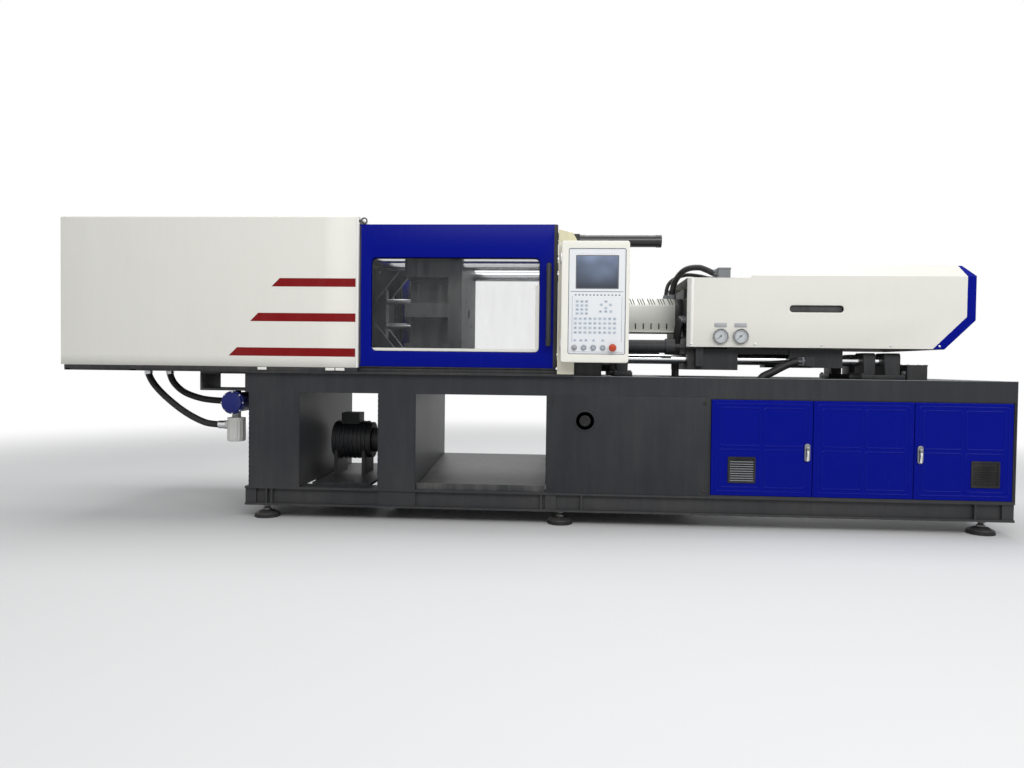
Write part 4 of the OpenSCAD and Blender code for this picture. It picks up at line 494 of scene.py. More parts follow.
for side, door in ((-1, "front"), (1, "rear")):
    body = f"door_{door}"
    sheet_piece(f"{door}_door_skin", on_side(door_skin, side), blue_paint, body,
                [f"{door}_door"], wrap=True, flip=side > 0, edge_angle=40)
    solids_piece(f"{door}_window_sheet", [on_side(window_sheet, side)], pane_sheet, body,
                 [f"{door}_window"])
    sheet_piece(f"{door}_window_profile", on_side(window_trim, side), seal_black, body, wrap=True,
                flip=side < 0)
    solids_piece(f"{door}_window_strips", [on_side(grid, side) for grid in strips], trim_white, body,
                 edge_angle=50)
    solids_piece(f"{door}_door_seals_and_gap_shadow", [on_side(grid, side)
                                        for grid in (end_seal, gap_shadow_strip, foot_brush)],
                 seal_black, body)
    solids_piece(f"{door}_door_handle", [on_side(grid, side) for grid in grips], handle_black, body,
                 edge_angle=50)


# Operator's panel: a cream moulded housing on two hinge pins. A printed polyester membrane lies in
# its face, with domed keys, status lamps and a flat display under a dark glass.
HMI_X, HMI_Y, HMI_Z = (200, 555), (-680, -590), (893, 1529)
HINGE_Z = (978, 1437)
MEMBRANE = ((240, 939), (534, 1487))
SCREEN = ((280, 1283), (494, 1449))
zinc = paint("zinc plate", (0.62, 0.63, 0.64), 0.28, amount=0.15, metallic=1.0, peel_height=0.02)
lock_nickel = paint("lock nickel", (0.36, 0.37, 0.39), 0.32, amount=0.1, metallic=1.0)
shell_cream = paint("panel shell", (0.79, 0.78, 0.71), 0.45, amount=0.08, dust=(0.5, 0.47, 0.4))
membrane_print = paint("membrane", (0.74, 0.76, 0.78), 0.35, amount=0.05, peel_height=0.02, peel_scale=900)
key_print = paint("key print", (0.52, 0.57, 0.63), 0.35, amount=0.05, peel_height=0.02, peel_scale=900)
key_mark = paint("key marks", (0.10, 0.12, 0.16), 0.4, amount=0.02)
housing = (HMI_X[0], HMI_Z[0]), (HMI_X[1], HMI_Z[1]), 14
shell_rings = [(round_ring(*housing, 10), HMI_Y[1]), (round_ring(*housing), HMI_Y[1] - 0.5)]
shell_rings += [(round_ring(*housing, inset), HMI_Y[0] + depth) for depth, inset in quarter(6, 6)]
shell_rings += [(round_ring(*MEMBRANE, 8, inset), HMI_Y[0] + depth)
                for inset, depth in ((-3, 0), (-1, 0.4), (0, 1.2), (0.6, 2.9))]
sheet_piece("panel_housing_shell", loft(shell_rings), shell_cream, "panel",
            ["panel_housing"], wrap=True, cap_last=True, edge_angle=45)
hinge_cups = [block((HMI_X[0] - 5, HMI_Y[1] - 24, z - 9), (HMI_X[0] + 14, HMI_Y[1] + 2, z + 38), 3, 2, "z")
              for z in HINGE_Z]
solids_piece("panel_hinges", hinge_cups, zinc, "panel")


def face_plate(low, high, depth, thick, corner, inset=0.0):
    """A thin plate in the panel's face: its back at depth in the recess and thick towards the front."""
    flat, front = round_ring(low, high, corner, inset), HMI_Y[0] + depth - thick
    return loft([(flat, HMI_Y[0] + depth), (flat, front + 0.2),
                 (round_ring(low, high, corner, inset + 0.25), front)])


joint = loft([(round_ring(*MEMBRANE, 8, inset), HMI_Y[0] - lift)
              for inset, lift in ((-2.6, -0.5), (-2.6, 0.25), (0.6, 0.25), (0.6, -0.5))])
sheet_piece("panel_joint_line", joint, key_mark, "panel", wrap=True, edge_angle=20)
solids_piece("panel_membrane", [face_plate(*MEMBRANE, 3.0, 0.5, 7, 1.2)], membrane_print, "panel")
outline = [face_plate((250, 1262), (524, 1265), 2.5, 0.15, 0.5),
           face_plate((262, 948), (524, 949.5), 2.5, 0.15, 0.5)]
outline += [face_plate((x, 1000), (x + 1.5, 1240), 2.5, 0.15, 0.4) for x in (258, 516)]
outline += [face_plate((x - 0.6, 1457), (x + 0.6, 1463), 2.5, 0.15, 0.3) for x in range(292, 480, 12)]
solids_piece("panel_rules", outline, key_mark, "panel")

# Keys: each a shallow dome pressed in the film, marked with a dash, a dot or an arrow.
key_fields = [(285 + 24 * column, 1212 - 21 * row, 8.6) for row in range(4) for column in range(3)]
key_fields += [(434 + dx, 1212 + dz, 8.4) for dx, dz in
               ((0, 0), (-24, -17), (24, -17), (0, -34), (-28, -52), (0, -52), (26, -52))]
key_fields += [(276 + 25.5 * column, 1122 - 24 * row, 9.0) for row in range(4) for column in range(9)]
key_fields += [(x, 1009, 8.0) for x in (274, 306, 333, 372, 420)]
keys = [face_plate((x - half, z - half * 0.86), (x + half, z + half * 0.86), 2.5, 0.9, 2.6)
        for x, z, half in key_fields]
solids_piece("panel_keys", keys, key_print, "panel")
marks = []
for number, (x, z, half) in enumerate(key_fields):
    wide, tall = ((4.6, 1.0), (1.1, 4.2), (3.2, 3.0), (4.4, 2.0))[(number * 7 + number // 5) % 4]
    marks.append(face_plate((x - wide, z - tall), (x + wide, z + tall), 1.6, 0.12, min(wide, tall) * 0.9))
marks += [face_plate((x - 5, 1243), (x + 5, 1249), 2.5, 0.2, 2.5) for x in range(276, 514, 19)]
solids_piece("panel_key_marks", marks, key_mark, "panel")

# The display: a dark glass in a grey frame, with a painted reflection of the hall's lamps: its colour turns
# pale blue in cloudy patches towards the top.
screen_frame = paint("screen frame", (0.12, 0.125, 0.14), 0.4, amount=0.05)
screen_glass, tree, shader = new_material("screen glass")
place = add_node(tree, "ShaderNodeTexCoord").outputs["Object"]
axes = add_node(tree, "ShaderNodeSeparateXYZ", links={0: place})
rise = add_node(tree, "ShaderNodeMapRange", values={"From Min": 1.28, "From Max": 1.46},
                links={"Value": axes.outputs["Z"]})
cloud = add_node(tree, "ShaderNodeTexNoise", values={"Scale": 9.0, "Detail": 1.0}, links={"Vector": place})
# Painted reflection: the glass's base colour brightens upwards in noise patches, standing for lamps
# mirrored in it.
painted_reflection_mask = combine(tree, "MULTIPLY", rise.outputs[0], cloud.outputs["Fac"])
painted_reflection_ramp = add_node(tree, "ShaderNodeValToRGB", links={0: painted_reflection_mask})
painted_reflection_ramp.color_ramp.elements[0].color = (0.035, 0.040, 0.050, 1)
painted_reflection_ramp.color_ramp.elements[1].position = 0.7
painted_reflection_ramp.color_ramp.elements[1].color = (0.26, 0.33, 0.48, 1)
tree.links.new(painted_reflection_ramp.outputs[0], shader.inputs["Base Color"])
set_sockets(shader, {"Roughness": 0.12, "Specular IOR Level": 0.3})
frame_plate = face_plate((SCREEN[0][0] - 5, SCREEN[0][1] - 5), (SCREEN[1][0] + 5, SCREEN[1][1] + 5), 2.5,
                         0.5, 4)
solids_piece("screen_frame", [frame_plate], screen_frame, "panel")
solids_piece("screen_glass", [face_plate(*SCREEN, 2.0, 0.4, 1.5)], screen_glass, "panel")

# Controls below the keys: a key switch, three push buttons in plated rings and a mushroom stop.
BUTTON_X, BUTTON_Z = [272 + 49.5 * number for number in range(5)], 971


def control(profile, x, steps=32):
    """A turned control at x in the row below the keys, its axis square to the panel's face."""
    return turned(profile, (x, HMI_Y[0], BUTTON_Z), steps=steps)


ring_grey = paint("control rings", (0.40, 0.42, 0.45), 0.3, amount=0.05, metallic=0.8)
cap_grey = paint("button caps", (0.36, 0.40, 0.45), 0.35, amount=0.05)
stop_red = paint("stop mushroom", (0.44, 0.045, 0.012), 0.32, amount=0.05)
ring_profile = [(10.2, 2.0), (15.0, 2.0), (15.4, -1.5), (14.4, -3.4), (12.2, -3.6), (11.0, -2.4),
                (10.2, -2.0)]
solids_piece("control_rings", [control(ring_profile, x) for x in BUTTON_X], ring_grey, "panel")
cap_profile = [(9.8, 18), (9.8, -6.6), (8.9, -7.9), (5.5, -7.3), (2, -6.9)]
for x, use in zip(BUTTON_X[1:4], ("start", "stop", "heater")):
    solids_piece(f"{use}_button_cap", [control(cap_profile, x)], cap_grey, f"button_{use}",
                 [f"{use}_button"])
mushroom = [(9.8, 18), (9.8, -15), (14.5, -15.6), (15, -20), (19.6, -22), (20, -25), (19.2, -30.5),
            (16, -33.6), (9, -34.8), (2, -35)]
solids_piece("emergency_stop_head", [control(mushroom, BUTTON_X[4], 40)], stop_red, "stop",
             ["emergency_stop"])
key_x = BUTTON_X[0]
key_parts = [control([(9.8, 18), (9.8, -9), (8.8, -10), (3, -10)], key_x),
             block((key_x - 1.3, -708, BUTTON_Z - 3), (key_x + 1.3, -688, BUTTON_Z + 3), 1, 0.4),
             turned([(2, -1.3), (11.5, -1.2), (12, 0), (11.5, 1.2), (2, 1.3)], (key_x, -703, BUTTON_Z),
                    "x")]
solids_piece("key_and_lock", key_parts, lock_nickel, "key", ["key_switch"])


# Injection cover: two folded shells of 3 mm sheet joined along the roof, powder coated warm white.
# A deck in front takes the hopper, the roof's edges are folded at 45 degrees, the end is chamfered.
INJ_X, INJ_Y = (902, 2457), 380
INJ_BOTTOM, INJ_TOP, DECK_Z, BEVEL_Z = 990, 1454, 1374, 1388
SLOPE_X, SHOULDER_X = (1242, 1318), 1255.3
CHAMFER_X, CHAMFER_Z = 2296, 1149
FALL_X, FALL_Z = 2411, 1392
SLOT, SLOT_R, SLOT_RIM = ((1463, 1186), (1756, 1225)), 18, 16
SHEET_M = 0.003


def injection_section(x):
    """The cover's bent sheet in y and z at x: up one side, over the bevels and down the other."""
    top = np.interp(x, (INJ_X[0], *SLOPE_X, FALL_X, INJ_X[1]), (DECK_Z, DECK_Z, INJ_TOP, INJ_TOP, FALL_Z))
    low = np.interp(x, (CHAMFER_X, INJ_X[1]), (INJ_BOTTOM, CHAMFER_Z))
    shoulder = min(top, BEVEL_Z)
    half = [(-INJ_Y, low), (-INJ_Y, max(low, SLOT[0][1] - SLOT_RIM)),
            (-INJ_Y, max(low, SLOT[1][1] + SLOT_RIM)), (-INJ_Y, shoulder), (-INJ_Y + top - shoulder, top)]
    return np.array(half + [(-y, z) for y, z in half[::-1]])


# The quad behind the front slot is left out, and the end and the underside behind the chamfer close it.
stations = [INJ_X[0], SLOPE_X[0], SHOULDER_X, SLOPE_X[1], SLOT[0][0] - SLOT_RIM, SLOT[1][0] + SLOT_RIM,
            CHAMFER_X, FALL_X, INJ_X[1]]
shell_grid = loft([(injection_section(x), x) for x in stations], "x")
rows, columns = shell_grid.shape[:2]
shell_faces = [face for face in grid_faces(rows, columns, False).tolist() if face[0] != 4 * columns + 1]
shell_faces.append([(rows - 1) * columns + k for k in range(columns)])
for row in (rows - 3, rows - 2):
    first, after = row * columns, (row + 1) * columns
    shell_faces.append([first, first + columns - 1, after + columns - 1, after])
injection_shell = mesh_object("injection_cover_shell", in_row(shell_grid.reshape(-1, 3)), shell_faces, 30)
wall = injection_shell.modifiers.new("wall", "SOLIDIFY")
wall.thickness = -SHEET_M
wall.offset = -1
bend = injection_shell.modifiers.new("fold", "BEVEL")
bend.width = SHEET_M
bend.segments = 3
bend.limit_method = "ANGLE"
bend.angle_limit = math.radians(20)
injection_white = paint("injection cover paint", (0.71, 0.70, 0.645), 0.40, amount=0.07,
                        dust=(0.50, 0.47, 0.41), stain_scale=1.7, peel_height=0.08)
finish_piece(injection_shell, injection_white, "injection", ["injection_cover"])

# A slot in the shell's front with a plain near-black plate behind it as painted shade for the dark inside
# the cover, and a blue film band runs down the end.
rim = (SLOT[0][0] - SLOT_RIM, SLOT[0][1] - SLOT_RIM), (SLOT[1][0] + SLOT_RIM, SLOT[1][1] + SLOT_RIM)
slot_rings = [(round_ring(*rim, 0.3), -INJ_Y)]
slot_rings += [(round_ring(*SLOT, SLOT_R, inset), -INJ_Y + depth)
               for inset, depth in ((-2, 0), (-0.6, 0.6), (0, 2), (0, 7))]
sheet_piece("stroke_slot", loft(slot_rings), injection_white, "injection", wrap=True,
            edge_angle=40)
# Painted shade: this flat near-black plate behind the slot stands for the dark inside the cover.
slot_shade_plate = block((SLOT[0][0] + 4, -INJ_Y + 16, SLOT[0][1] - 8),
                    (SLOT[1][0] - 4, -INJ_Y + 18, SLOT[1][1] + 8), 3, 0.5)
solids_piece("stroke_slot_shade", [slot_shade_plate], paint("slot shade plate", (0.03, 0.03, 0.033), 0.5), "injection")

BAND_X, BAND_Y, BEVEL_Y = INJ_X[1] - 46, 378, 314
band_flat = np.array([(CHAMFER_X, INJ_BOTTOM), (INJ_X[1], CHAMFER_Z), (INJ_X[1], BEVEL_Z),
                      (BAND_X, BEVEL_Z), (BAND_X, CHAMFER_Z + 19), (CHAMFER_X - 62, INJ_BOTTOM)], float)
band_bevel = np.array([(BAND_X, -INJ_Y, BEVEL_Z), (INJ_X[1], -INJ_Y, BEVEL_Z),
                       (INJ_X[1], 4 - INJ_Y, FALL_Z),
                       (FALL_X, -BEVEL_Y, INJ_TOP), (FALL_X - 20, -BEVEL_Y, INJ_TOP)], float)
flat_band = loft([(band_flat, -INJ_Y - 0.1), (band_flat, -INJ_Y - 0.8)])
bevel_band = np.stack([band_bevel + (0, -lift, lift) for lift in (0.1, 0.6)])
bands = both_sides(flat_band, bevel_band)
end_ring = np.array([(-BAND_Y, CHAMFER_Z), (BAND_Y, CHAMFER_Z), (BAND_Y, FALL_Z), (-BAND_Y, FALL_Z)], float)
bands.append(loft([(end_ring, INJ_X[1] + 0.1), (end_ring, INJ_X[1] + 0.8)], "x"))
chamfer_ring = np.array([(CHAMFER_X, -BAND_Y, INJ_BOTTOM), (CHAMFER_X, BAND_Y, INJ_BOTTOM),
                         (INJ_X[1], BAND_Y, CHAMFER_Z), (INJ_X[1], -BAND_Y, CHAMFER_Z)], float)
bands.append(np.stack([chamfer_ring + (lift, 0, -lift) for lift in (0.1, 0.6)]))
solids_piece("end_band", bands, blue_paint, "injection")

# Beside the barrel the shell's edge is folded back on itself, left in plain primer grey.
front_fold = [block((903, y0, 992), (922, y1, DECK_Z - 2), 0.8, 0.3)
              for y0, y1 in ((-INJ_Y - 2.4, -INJ_Y), (INJ_Y, INJ_Y + 2.4))]
solids_piece("injection_cover_fold", front_fold, paint("primer grey", (0.50, 0.50, 0.48), 0.5, amount=0.2),
             "injection")
fold_strip = [block((924, y0, 993), (938, y1, DECK_Z - 3), 0.6, 0.3)
              for y0, y1 in ((-INJ_Y - 1.6, -INJ_Y), (INJ_Y, INJ_Y + 1.6))]
solids_piece("injection_cover_fold_strip", fold_strip, hem_highlight_paint, "injection")

# Fasteners along the cover's lower edge, and the terminal box with its cable glands on the deck.
cover_screws = [turned([(7, 0), (7, -1.5), (5.5, -3.4), (2, -4)], (x, -INJ_Y, 1006), steps=16)
                for x in (930, 1280, 1640, 2010, 2270)]
solids_piece("injection_cover_screws", cover_screws, zinc, "injection")
gland_grey = paint("terminal boxes", (0.16, 0.17, 0.18), 0.5, amount=0.2, peel_height=0.3, peel_scale=500)
deck_box = [block((1100, -240, DECK_Z), (1170, -140, 1442), 5, 2, "z"),
            block((1098, -242, 1438), (1172, -138, 1450), 6, 2.5, "z")]
deck_box += [turned([(radius, 2), (radius, -10), (radius * 0.86, -14), (radius * 0.86, -22)], (1100, y, z),
                    "x", 6, 30)
             for y, z, radius in ((-190, 1425, 22), (-157, 1396, 15))]
solids_piece("deck_terminal_box", deck_box, gland_grey, "injection", edge_angle=30)


# Pressure gauges: plated steel cases with a white dial behind glass, and a blank grey plate over each.
# The needles turn with the oil pressure, and are pieces of their own.
GAUGE_X, GAUGE_Z = (1088, 1198), 1050
FIRST_TICK, TICK_STEP, TICKS, LONG_EVERY = 225, 10, 28, 3
gauge_steel = paint("gauge cases", (0.30, 0.31, 0.32), 0.22, amount=0.1, metallic=1.0, peel_height=0.0)
dial_white = paint("dial", (0.62, 0.63, 0.63), 0.45, amount=0.05, peel_height=0.0)
lens, tree, shader = new_material("gauge lens")
set_sockets(shader, {"Base Color": (0.6, 0.66, 0.7, 1), "Alpha": 0.14, "Roughness": 0.06})
cases, dials, ticks, lenses, plates = [], [], [], [], []
for x in GAUGE_X:
    middle = (x, -INJ_Y, GAUGE_Z)
    cases.append(turned([(35.6, -6), (41.5, -1), (42, -6), (42, -19), (41, -22.6), (38.5, -24),
                         (36.6, -22.4), (35.8, -18), (35.6, -7)], middle, steps=56))
    dials.append(turned([(35.8, -7), (35.8, -8.4), (2, -8.6)], middle, steps=48))
    lenses.append(turned([(36.2, -19), (36.2, -20), (20, -20.6), (2, -20.8)], middle, steps=48))
    for number in range(TICKS):
        angle = math.radians(FIRST_TICK - TICK_STEP * number)
        outwards = np.array([math.cos(angle), 0, math.sin(angle)])
        sideways = np.array([-math.sin(angle), 0, math.cos(angle)])
        inner = 28.5 if number % LONG_EVERY else 25
        ring = np.array([(-0.55, inner), (0.55, inner), (0.55, 32), (-0.55, 32)])
        flat = np.array(middle) + (0, -8.5, 0) + ring[:, :1] * sideways + ring[:, 1:] * outwards
        ticks.append(np.stack([flat, flat + (0, -0.5, 0)]))
    plates.append(block((x - 34, -INJ_Y - 1.6, 1100), (x + 34, -INJ_Y, 1124), 3, 0.5))
solids_piece("gauge_cases", cases, gauge_steel, "injection", ["pressure_gauges"])
solids_piece("gauge_dials", dials, dial_white, "injection")
solids_piece("gauge_ticks", ticks, seal_black, "injection", edge_angle=20)
solids_piece("gauge_lenses", lenses, lens, "injection")
solids_piece("gauge_plates", plates, paint("gauge plates", (0.30, 0.31, 0.33), 0.4, metallic=0.5),
             "injection")
needle_black = paint("needles", (0.02, 0.02, 0.02), 0.5)
for x, end in zip(GAUGE_X, ("left", "right")):
    ring = np.array([(-22, -23), (-23, -22), (2.5, 5.5), (12, 12), (5.5, 2.5)]) + (x, GAUGE_Z)
    needle = loft([(ring, -INJ_Y - 10.4), (ring, -INJ_Y - 9.6)])
    hub = turned([(5.6, -8.7), (5.6, -12), (4, -13.4), (1, -13.8)], (x, -INJ_Y, GAUGE_Z), steps=24)
    solids_piece(f"gauge_needle_{end}_dressed", [needle, hub], needle_black, f"needle_{end[0]}",
                 [f"gauge_needle_{end}"])


# Electrical cabinet's doors: sheet trays pressed with thin creases that stiffen them, painted like
# the guards. They hang in a pale frame, with a plated swing latch and a louvred vent in each.
BED_Y = 535
CAB_Z, LATCH_Z = (188, 703), 444


def crease_height(x, z, low, high, radius, width, tall):
    """A ridge along a rounded rectangle: tall times exp(-(distance to its line / width) squared)."""
    qx = np.abs(x - (low[0] + high[0]) / 2) - (high[0] - low[0]) / 2 + radius
    qz = np.abs(z - (low[1] + high[1]) / 2) - (high[1] - low[1]) / 2 + radius
    distance = np.hypot(np.maximum(qx, 0), np.maximum(qz, 0)) + np.minimum(np.maximum(qx, qz), 0) - radius
    return tall * np.exp(-(distance / width) ** 2)


def crease_lines(low, high, marks):
    """Grid lines from low to high, close together beside each crease."""
    right = np.array([1.3, 2.5, 3.7, 5, 6.5, 8.5, 11, 14, 18])
    near = np.concatenate([-right[::-1], [0], right])
    lines = np.concatenate([np.linspace(low + 3, high - 3, 13)] + [mark + near for mark in marks])
    lines = np.unique(np.round(lines[(lines > low + 2.9) & (lines < high - 2.9)], 1))
    return lines[np.insert(np.diff(lines) > 0.9, 0, True)]


def pressed_door(name, x0, x1, body, stands_for):
    """A door's face as a height map of its creases over x and z, with its edges folded back."""
    mid_x, mid_z = (x0 + x1) / 2, sum(CAB_Z) / 2
    fields = [((x0 + 22, CAB_Z[0] + 22), (x1 - 22, CAB_Z[1] - 22))]
    for left, right in ((x0 + 44, mid_x - 11), (mid_x + 11, x1 - 44)):
        for low, high in ((CAB_Z[0] + 44, mid_z - 11), (mid_z + 11, CAB_Z[1] - 44)):
            fields.append(((left, low), (right, high)))
    xs = crease_lines(x0, x1, sorted({corner[0] for field in fields for corner in field}))
    zs = crease_lines(*CAB_Z, sorted({corner[1] for field in fields for corner in field}))
    x, z = np.meshgrid(xs, zs, indexing="ij")
    lift = np.max([crease_height(x, z, low, high, 14, 3.0, 2.6) for low, high in fields], axis=0)
    grid = np.pad(np.stack([x, -BED_Y - lift, z], -1), ((2, 2), (2, 2), (0, 0)), mode="edge")
    grid[:2, :, 0], grid[-2:, :, 0] = x0, x1
    grid[:, :2, 2], grid[:, -2:, 2] = CAB_Z
    grid[1, :, 1] = grid[-2, :, 1] = grid[:, 1, 1] = grid[:, -2, 1] = 2 - BED_Y
    grid[0, :, 1] = grid[-1, :, 1] = grid[:, 0, 1] = grid[:, -1, 1] = 23 - BED_Y
    sheet_piece(name, grid, blue_paint, body, stands_for, edge_angle=50, flip=True)


pressed_door("cabinet_door_left_face", 1018, 1551, "cabinet_left", ["cabinet_door_left"])
pressed_door("cabinet_middle_face", 1555, 2076, "base", ["cabinet_middle_panel"])
pressed_door("cabinet_door_right_face", 2080, 2582, "cabinet_right", ["cabinet_door_right"])

vent_black = paint("vent frames", (0.009, 0.009, 0.010), 0.5, amount=0.12, specular=0.2)
vent_grey = paint("vent slats", (0.24, 0.26, 0.28), 0.4, amount=0.25)
for x, body, slat_paint in ((1180, "cabinet_left", vent_grey), (2444, "cabinet_right", vent_black)):
    vent_frame = loft([(round_ring((x - 74, 256), (x + 74, 398), 7, inset), -BED_Y - lift)
                       for inset, lift in ((0, 0.4), (0.4, 4.2), (2, 6.2), (9, 6.2), (11, 4.4),
                                           (11.5, 0.6))])
    sheet_piece(f"vent_frame_{body}", vent_frame, vent_black, body, wrap=True, cap_last=True)
    slats = []
    for number in range(9):
        z = 272 + 12.6 * number
        slat = np.array([(-536.2, z), (-540.6, z - 1.5), (-541.2, z - 3.4), (-540.2, z - 3.8),
                         (-536.2, z - 1.6)])
        slats.append(loft([(slat, x - 62), (slat, x + 62)], "x"))
    solids_piece(f"vent_slats_{body}", slats, slat_paint, body, edge_angle=25)

chrome = paint("hard chrome", (0.78, 0.79, 0.80), 0.12, peel_height=0.0, amount=0.05, metallic=1.0)
latch_zinc = paint("latch plates", (0.22, 0.225, 0.23), 0.3, amount=0.25, metallic=1.0, peel_height=0.02)
for x, body, node in ((1523, "latch_l", "latch_left"), (2108, "latch_r", "latch_right")):
    plate = block((x - 15, -543, LATCH_Z - 66), (x + 15, -536, LATCH_Z + 30), 13, 2)
    pivot = turned([(9, -7), (9, -17), (7.6, -19), (2, -19.4)], (x, -536, LATCH_Z), steps=24)
    lever_rings = []
    for t in np.linspace(0, 1, 12):
        half = 7.5 - 2.2 * math.sin(math.pi * t) + (-2.4 if t in (0, 1) else 0)
        deep = -549 - 5.5 * math.sin(math.pi * min(1, t * 1.1)) ** 2
        lever_rings.append((round_ring((x - half, deep - 2.8), (x + half, deep + 2.8), 2.6),
                            LATCH_Z + 12 - 72 * t))
    solids_piece(f"{node}_dressed", [plate, pivot], latch_zinc, body, [node])
    solids_piece(f"{node}_lever", [loft(lever_rings, "z")], chrome, body)


# Barrel guard: a perforated hood of thin sheet over the heater bands, white but painted brighter than
# the covers to make up for the shade it sits in. Slanted slots let the heat out at its bevels and short
# ones sit along its foot, drawn as near-black plates of painted shade; its last part is a dark end.
HOOD_X, HOOD_Z = (515, 922), (1085, 1285)
HOOD_HALF, HOOD_BEVEL, HOOD_TURN, HOOD_END = 100, 43, 6, 42


def hood_section(inset):
    """Half hexagon of the hood in y and z: up one side, over both bevels and down the other."""
    half, top, bevel, turn = HOOD_HALF - inset, HOOD_Z[1] - inset, HOOD_BEVEL - 0.4 * inset, HOOD_TURN
    points = [(-half, HOOD_Z[0]), (-half, top - bevel - turn - 4), (-half, top - bevel - turn),
              (-half + turn * 0.3, top - bevel + turn * 0.7),
              (-half + turn * 0.9, top - bevel + turn * 1.3),
              (-half + bevel - turn * 1.3, top - turn * 0.9),
              (-half + bevel - turn * 0.7, top - turn * 0.3),
              (-half + bevel + turn, top), (-half + bevel + turn + 4, top)]
    return np.array(points + [(-y, z) for y, z in points[::-1]])


hood_skin = loft([(hood_section(0), x) for x in (HOOD_X[0], HOOD_X[0] + 2, HOOD_X[1] - HOOD_END)], "x")
hood_end = loft([(hood_section(0.6), x) for x in (HOOD_X[1] - HOOD_END, HOOD_X[1])], "x")
# Painted light: the hood's white is set brighter than the covers' white to make up for the shade between
# the panel and the cover.
hood_white_brightened = paint("barrel hood brightened", (0.90, 0.90, 0.84), 0.42, amount=0.07, dust=(0.5, 0.47, 0.4),
                   specular=0.25)
sheet_piece("barrel_hood", hood_skin, hood_white_brightened, "injection", ["barrel_guard"], thick=1.6,
            flip=True)
dark_iron = paint("dark iron", (0.030, 0.032, 0.036), 0.5, amount=0.3, peel_height=0.3, peel_scale=150)
sheet_piece("barrel_hood_end", hood_end, dark_iron, "injection", thick=1.6, flip=True)

slanted, upright = [], []
for group in range(6):
    for x in (HOOD_X[0] + 24 + 60 * group + 15 * line for line in range(3)):
        if x <= HOOD_X[1] - 66:
            ring = np.array([(x + 9, -HOOD_HALF - 0.7, 1245), (x + 13, -HOOD_HALF - 0.7, 1245),
                             (x + 2, -HOOD_HALF + 36, 1282), (x - 2, -HOOD_HALF + 36, 1282)])
            slanted.append(np.stack([ring + (0, 0, 0.9), ring + (0, -0.5, 1.5)]))
for x in range(HOOD_X[0] + 36, HOOD_X[1] - 50, 46):
    upright.append(block((x, -HOOD_HALF - 0.8, HOOD_Z[0] + 14), (x + 8, -HOOD_HALF - 0.1, HOOD_Z[0] + 50),
                         3.9, 0.3))
# Painted shade: the slots are not cut; near-black plates on the skin stand for the dark seen through them.
slot_shade_paint = paint("slots in shade", (0.035, 0.033, 0.03), 0.9, amount=0.0, peel_height=0.0)
solids_piece("barrel_hood_slots", both_sides(*slanted) + both_sides(*upright), slot_shade_paint, "injection",
             edge_angle=20)
hood_feet = [block((HOOD_X[0], y0, HOOD_Z[0] - 4), (HOOD_X[1], y1, HOOD_Z[0]), 0.8, 0.4)
             for y0, y1 in ((-116, -98), (98, 116))]
solids_piece("barrel_hood_feet", hood_feet, hood_white_brightened, "injection")

# Barrel: nitrided steel tube in heater bands of stainless sheet, each clamped by a bolt, with its
# nozzle in front. The steel is heat-browned next to the bands.
AXIS_Z = 1185
BAND_STARTS = (455, 570, 685, 800)
barrel_steel = paint("barrel steel", (0.20, 0.18, 0.16), 0.38, amount=0.5, dust=(0.10, 0.07, 0.05),
                     metallic=0.9, stain_scale=9.0, peel_height=0.05)
band_steel = paint("heater bands", (0.42, 0.40, 0.37), 0.34, amount=0.35, dust=(0.22, 0.16, 0.10),
                   metallic=0.9, peel_height=0.03)
wear(barrel_steel, "barrel")
rim_profile = [(52.6, 0), (64.6, 0), (65.4, 1.5), (65.4, 5.5), (64.6, 7), (52.6, 7)]
band_rims, band_bolts = [], []
for start in BAND_STARTS:
    band_rims += [turned(rim_profile, (start + rim, 0, AXIS_Z), "x", 48) for rim in (0, 98)]
    for x in (start + 26, start + 79):
        band_bolts.append(turned([(6, 0), (6, 12), (4.8, 14), (1, 14.4)], (x, 0, AXIS_Z - 78), "z", 6))
        band_bolts.append(block((x - 9, -14, AXIS_Z - 70), (x + 9, 14, AXIS_Z - 62), 2, 1))
solids_piece("heater_band_rims", band_rims, band_steel, "injection")
solids_piece("heater_band_clamps", band_bolts, zinc, "injection")
screw_steel = paint("screw steel", (0.55, 0.56, 0.57), 0.2, amount=0.1, metallic=1.0, peel_height=0.02)
wear(screw_steel, "screw")


# Bed details: a grey panel held by hex screws with an oil port in it, a lighter strip along the beam's
# top edge as a painted highlight, and weld beads under the beam.
BED_X, BEAM_Z = (-1554, 2600), 710
PANEL_X, PANEL_Y, PANEL_Z = (128, 1009), -BED_Y - 3, (181, 716)
PORT_X, PORT_Z = 339, 577
panel_grey = paint("panel paint", (0.0215, 0.023, 0.0265), 0.40, amount=0.12, dust=(0.11, 0.105, 0.10),
                   specular=0.2)
panel_plate = block((PANEL_X[0] + 3, PANEL_Y, PANEL_Z[0] + 1), (PANEL_X[1] - 2, -BED_Y, PANEL_Z[1] - 2), 3,
                    0.8)
screw_profile = [(11, 0), (11, -1.4), (8.4, -1.6), (8.4, -6), (7.4, -7), (4.2, -7), (4.2, -4)]
panel_screws = [turned(screw_profile, (x, PANEL_Y, z), steps=24)
                for x in (PANEL_X[0] + 28, PANEL_X[1] - 28) for z in (PANEL_Z[0] + 28, BEAM_Z - 28)]
port_ring = [(48.2, 8), (48.2, -2), (50, -4.6), (55, -5.4), (58, -4.4), (58.4, -3), (58.4, 0)]
port_face = [(48.6, 0.6), (48.4, -0.4), (30, -0.6), (27, -1.8), (24, -1.8), (22, -0.8), (2, -0.8)]
port_black = paint("port glass", (0.006, 0.006, 0.007), 0.12, amount=0.05, peel_height=0.0)
solids_piece("access_panel_sheet", [panel_plate], panel_grey, "base", ["access_panel"])
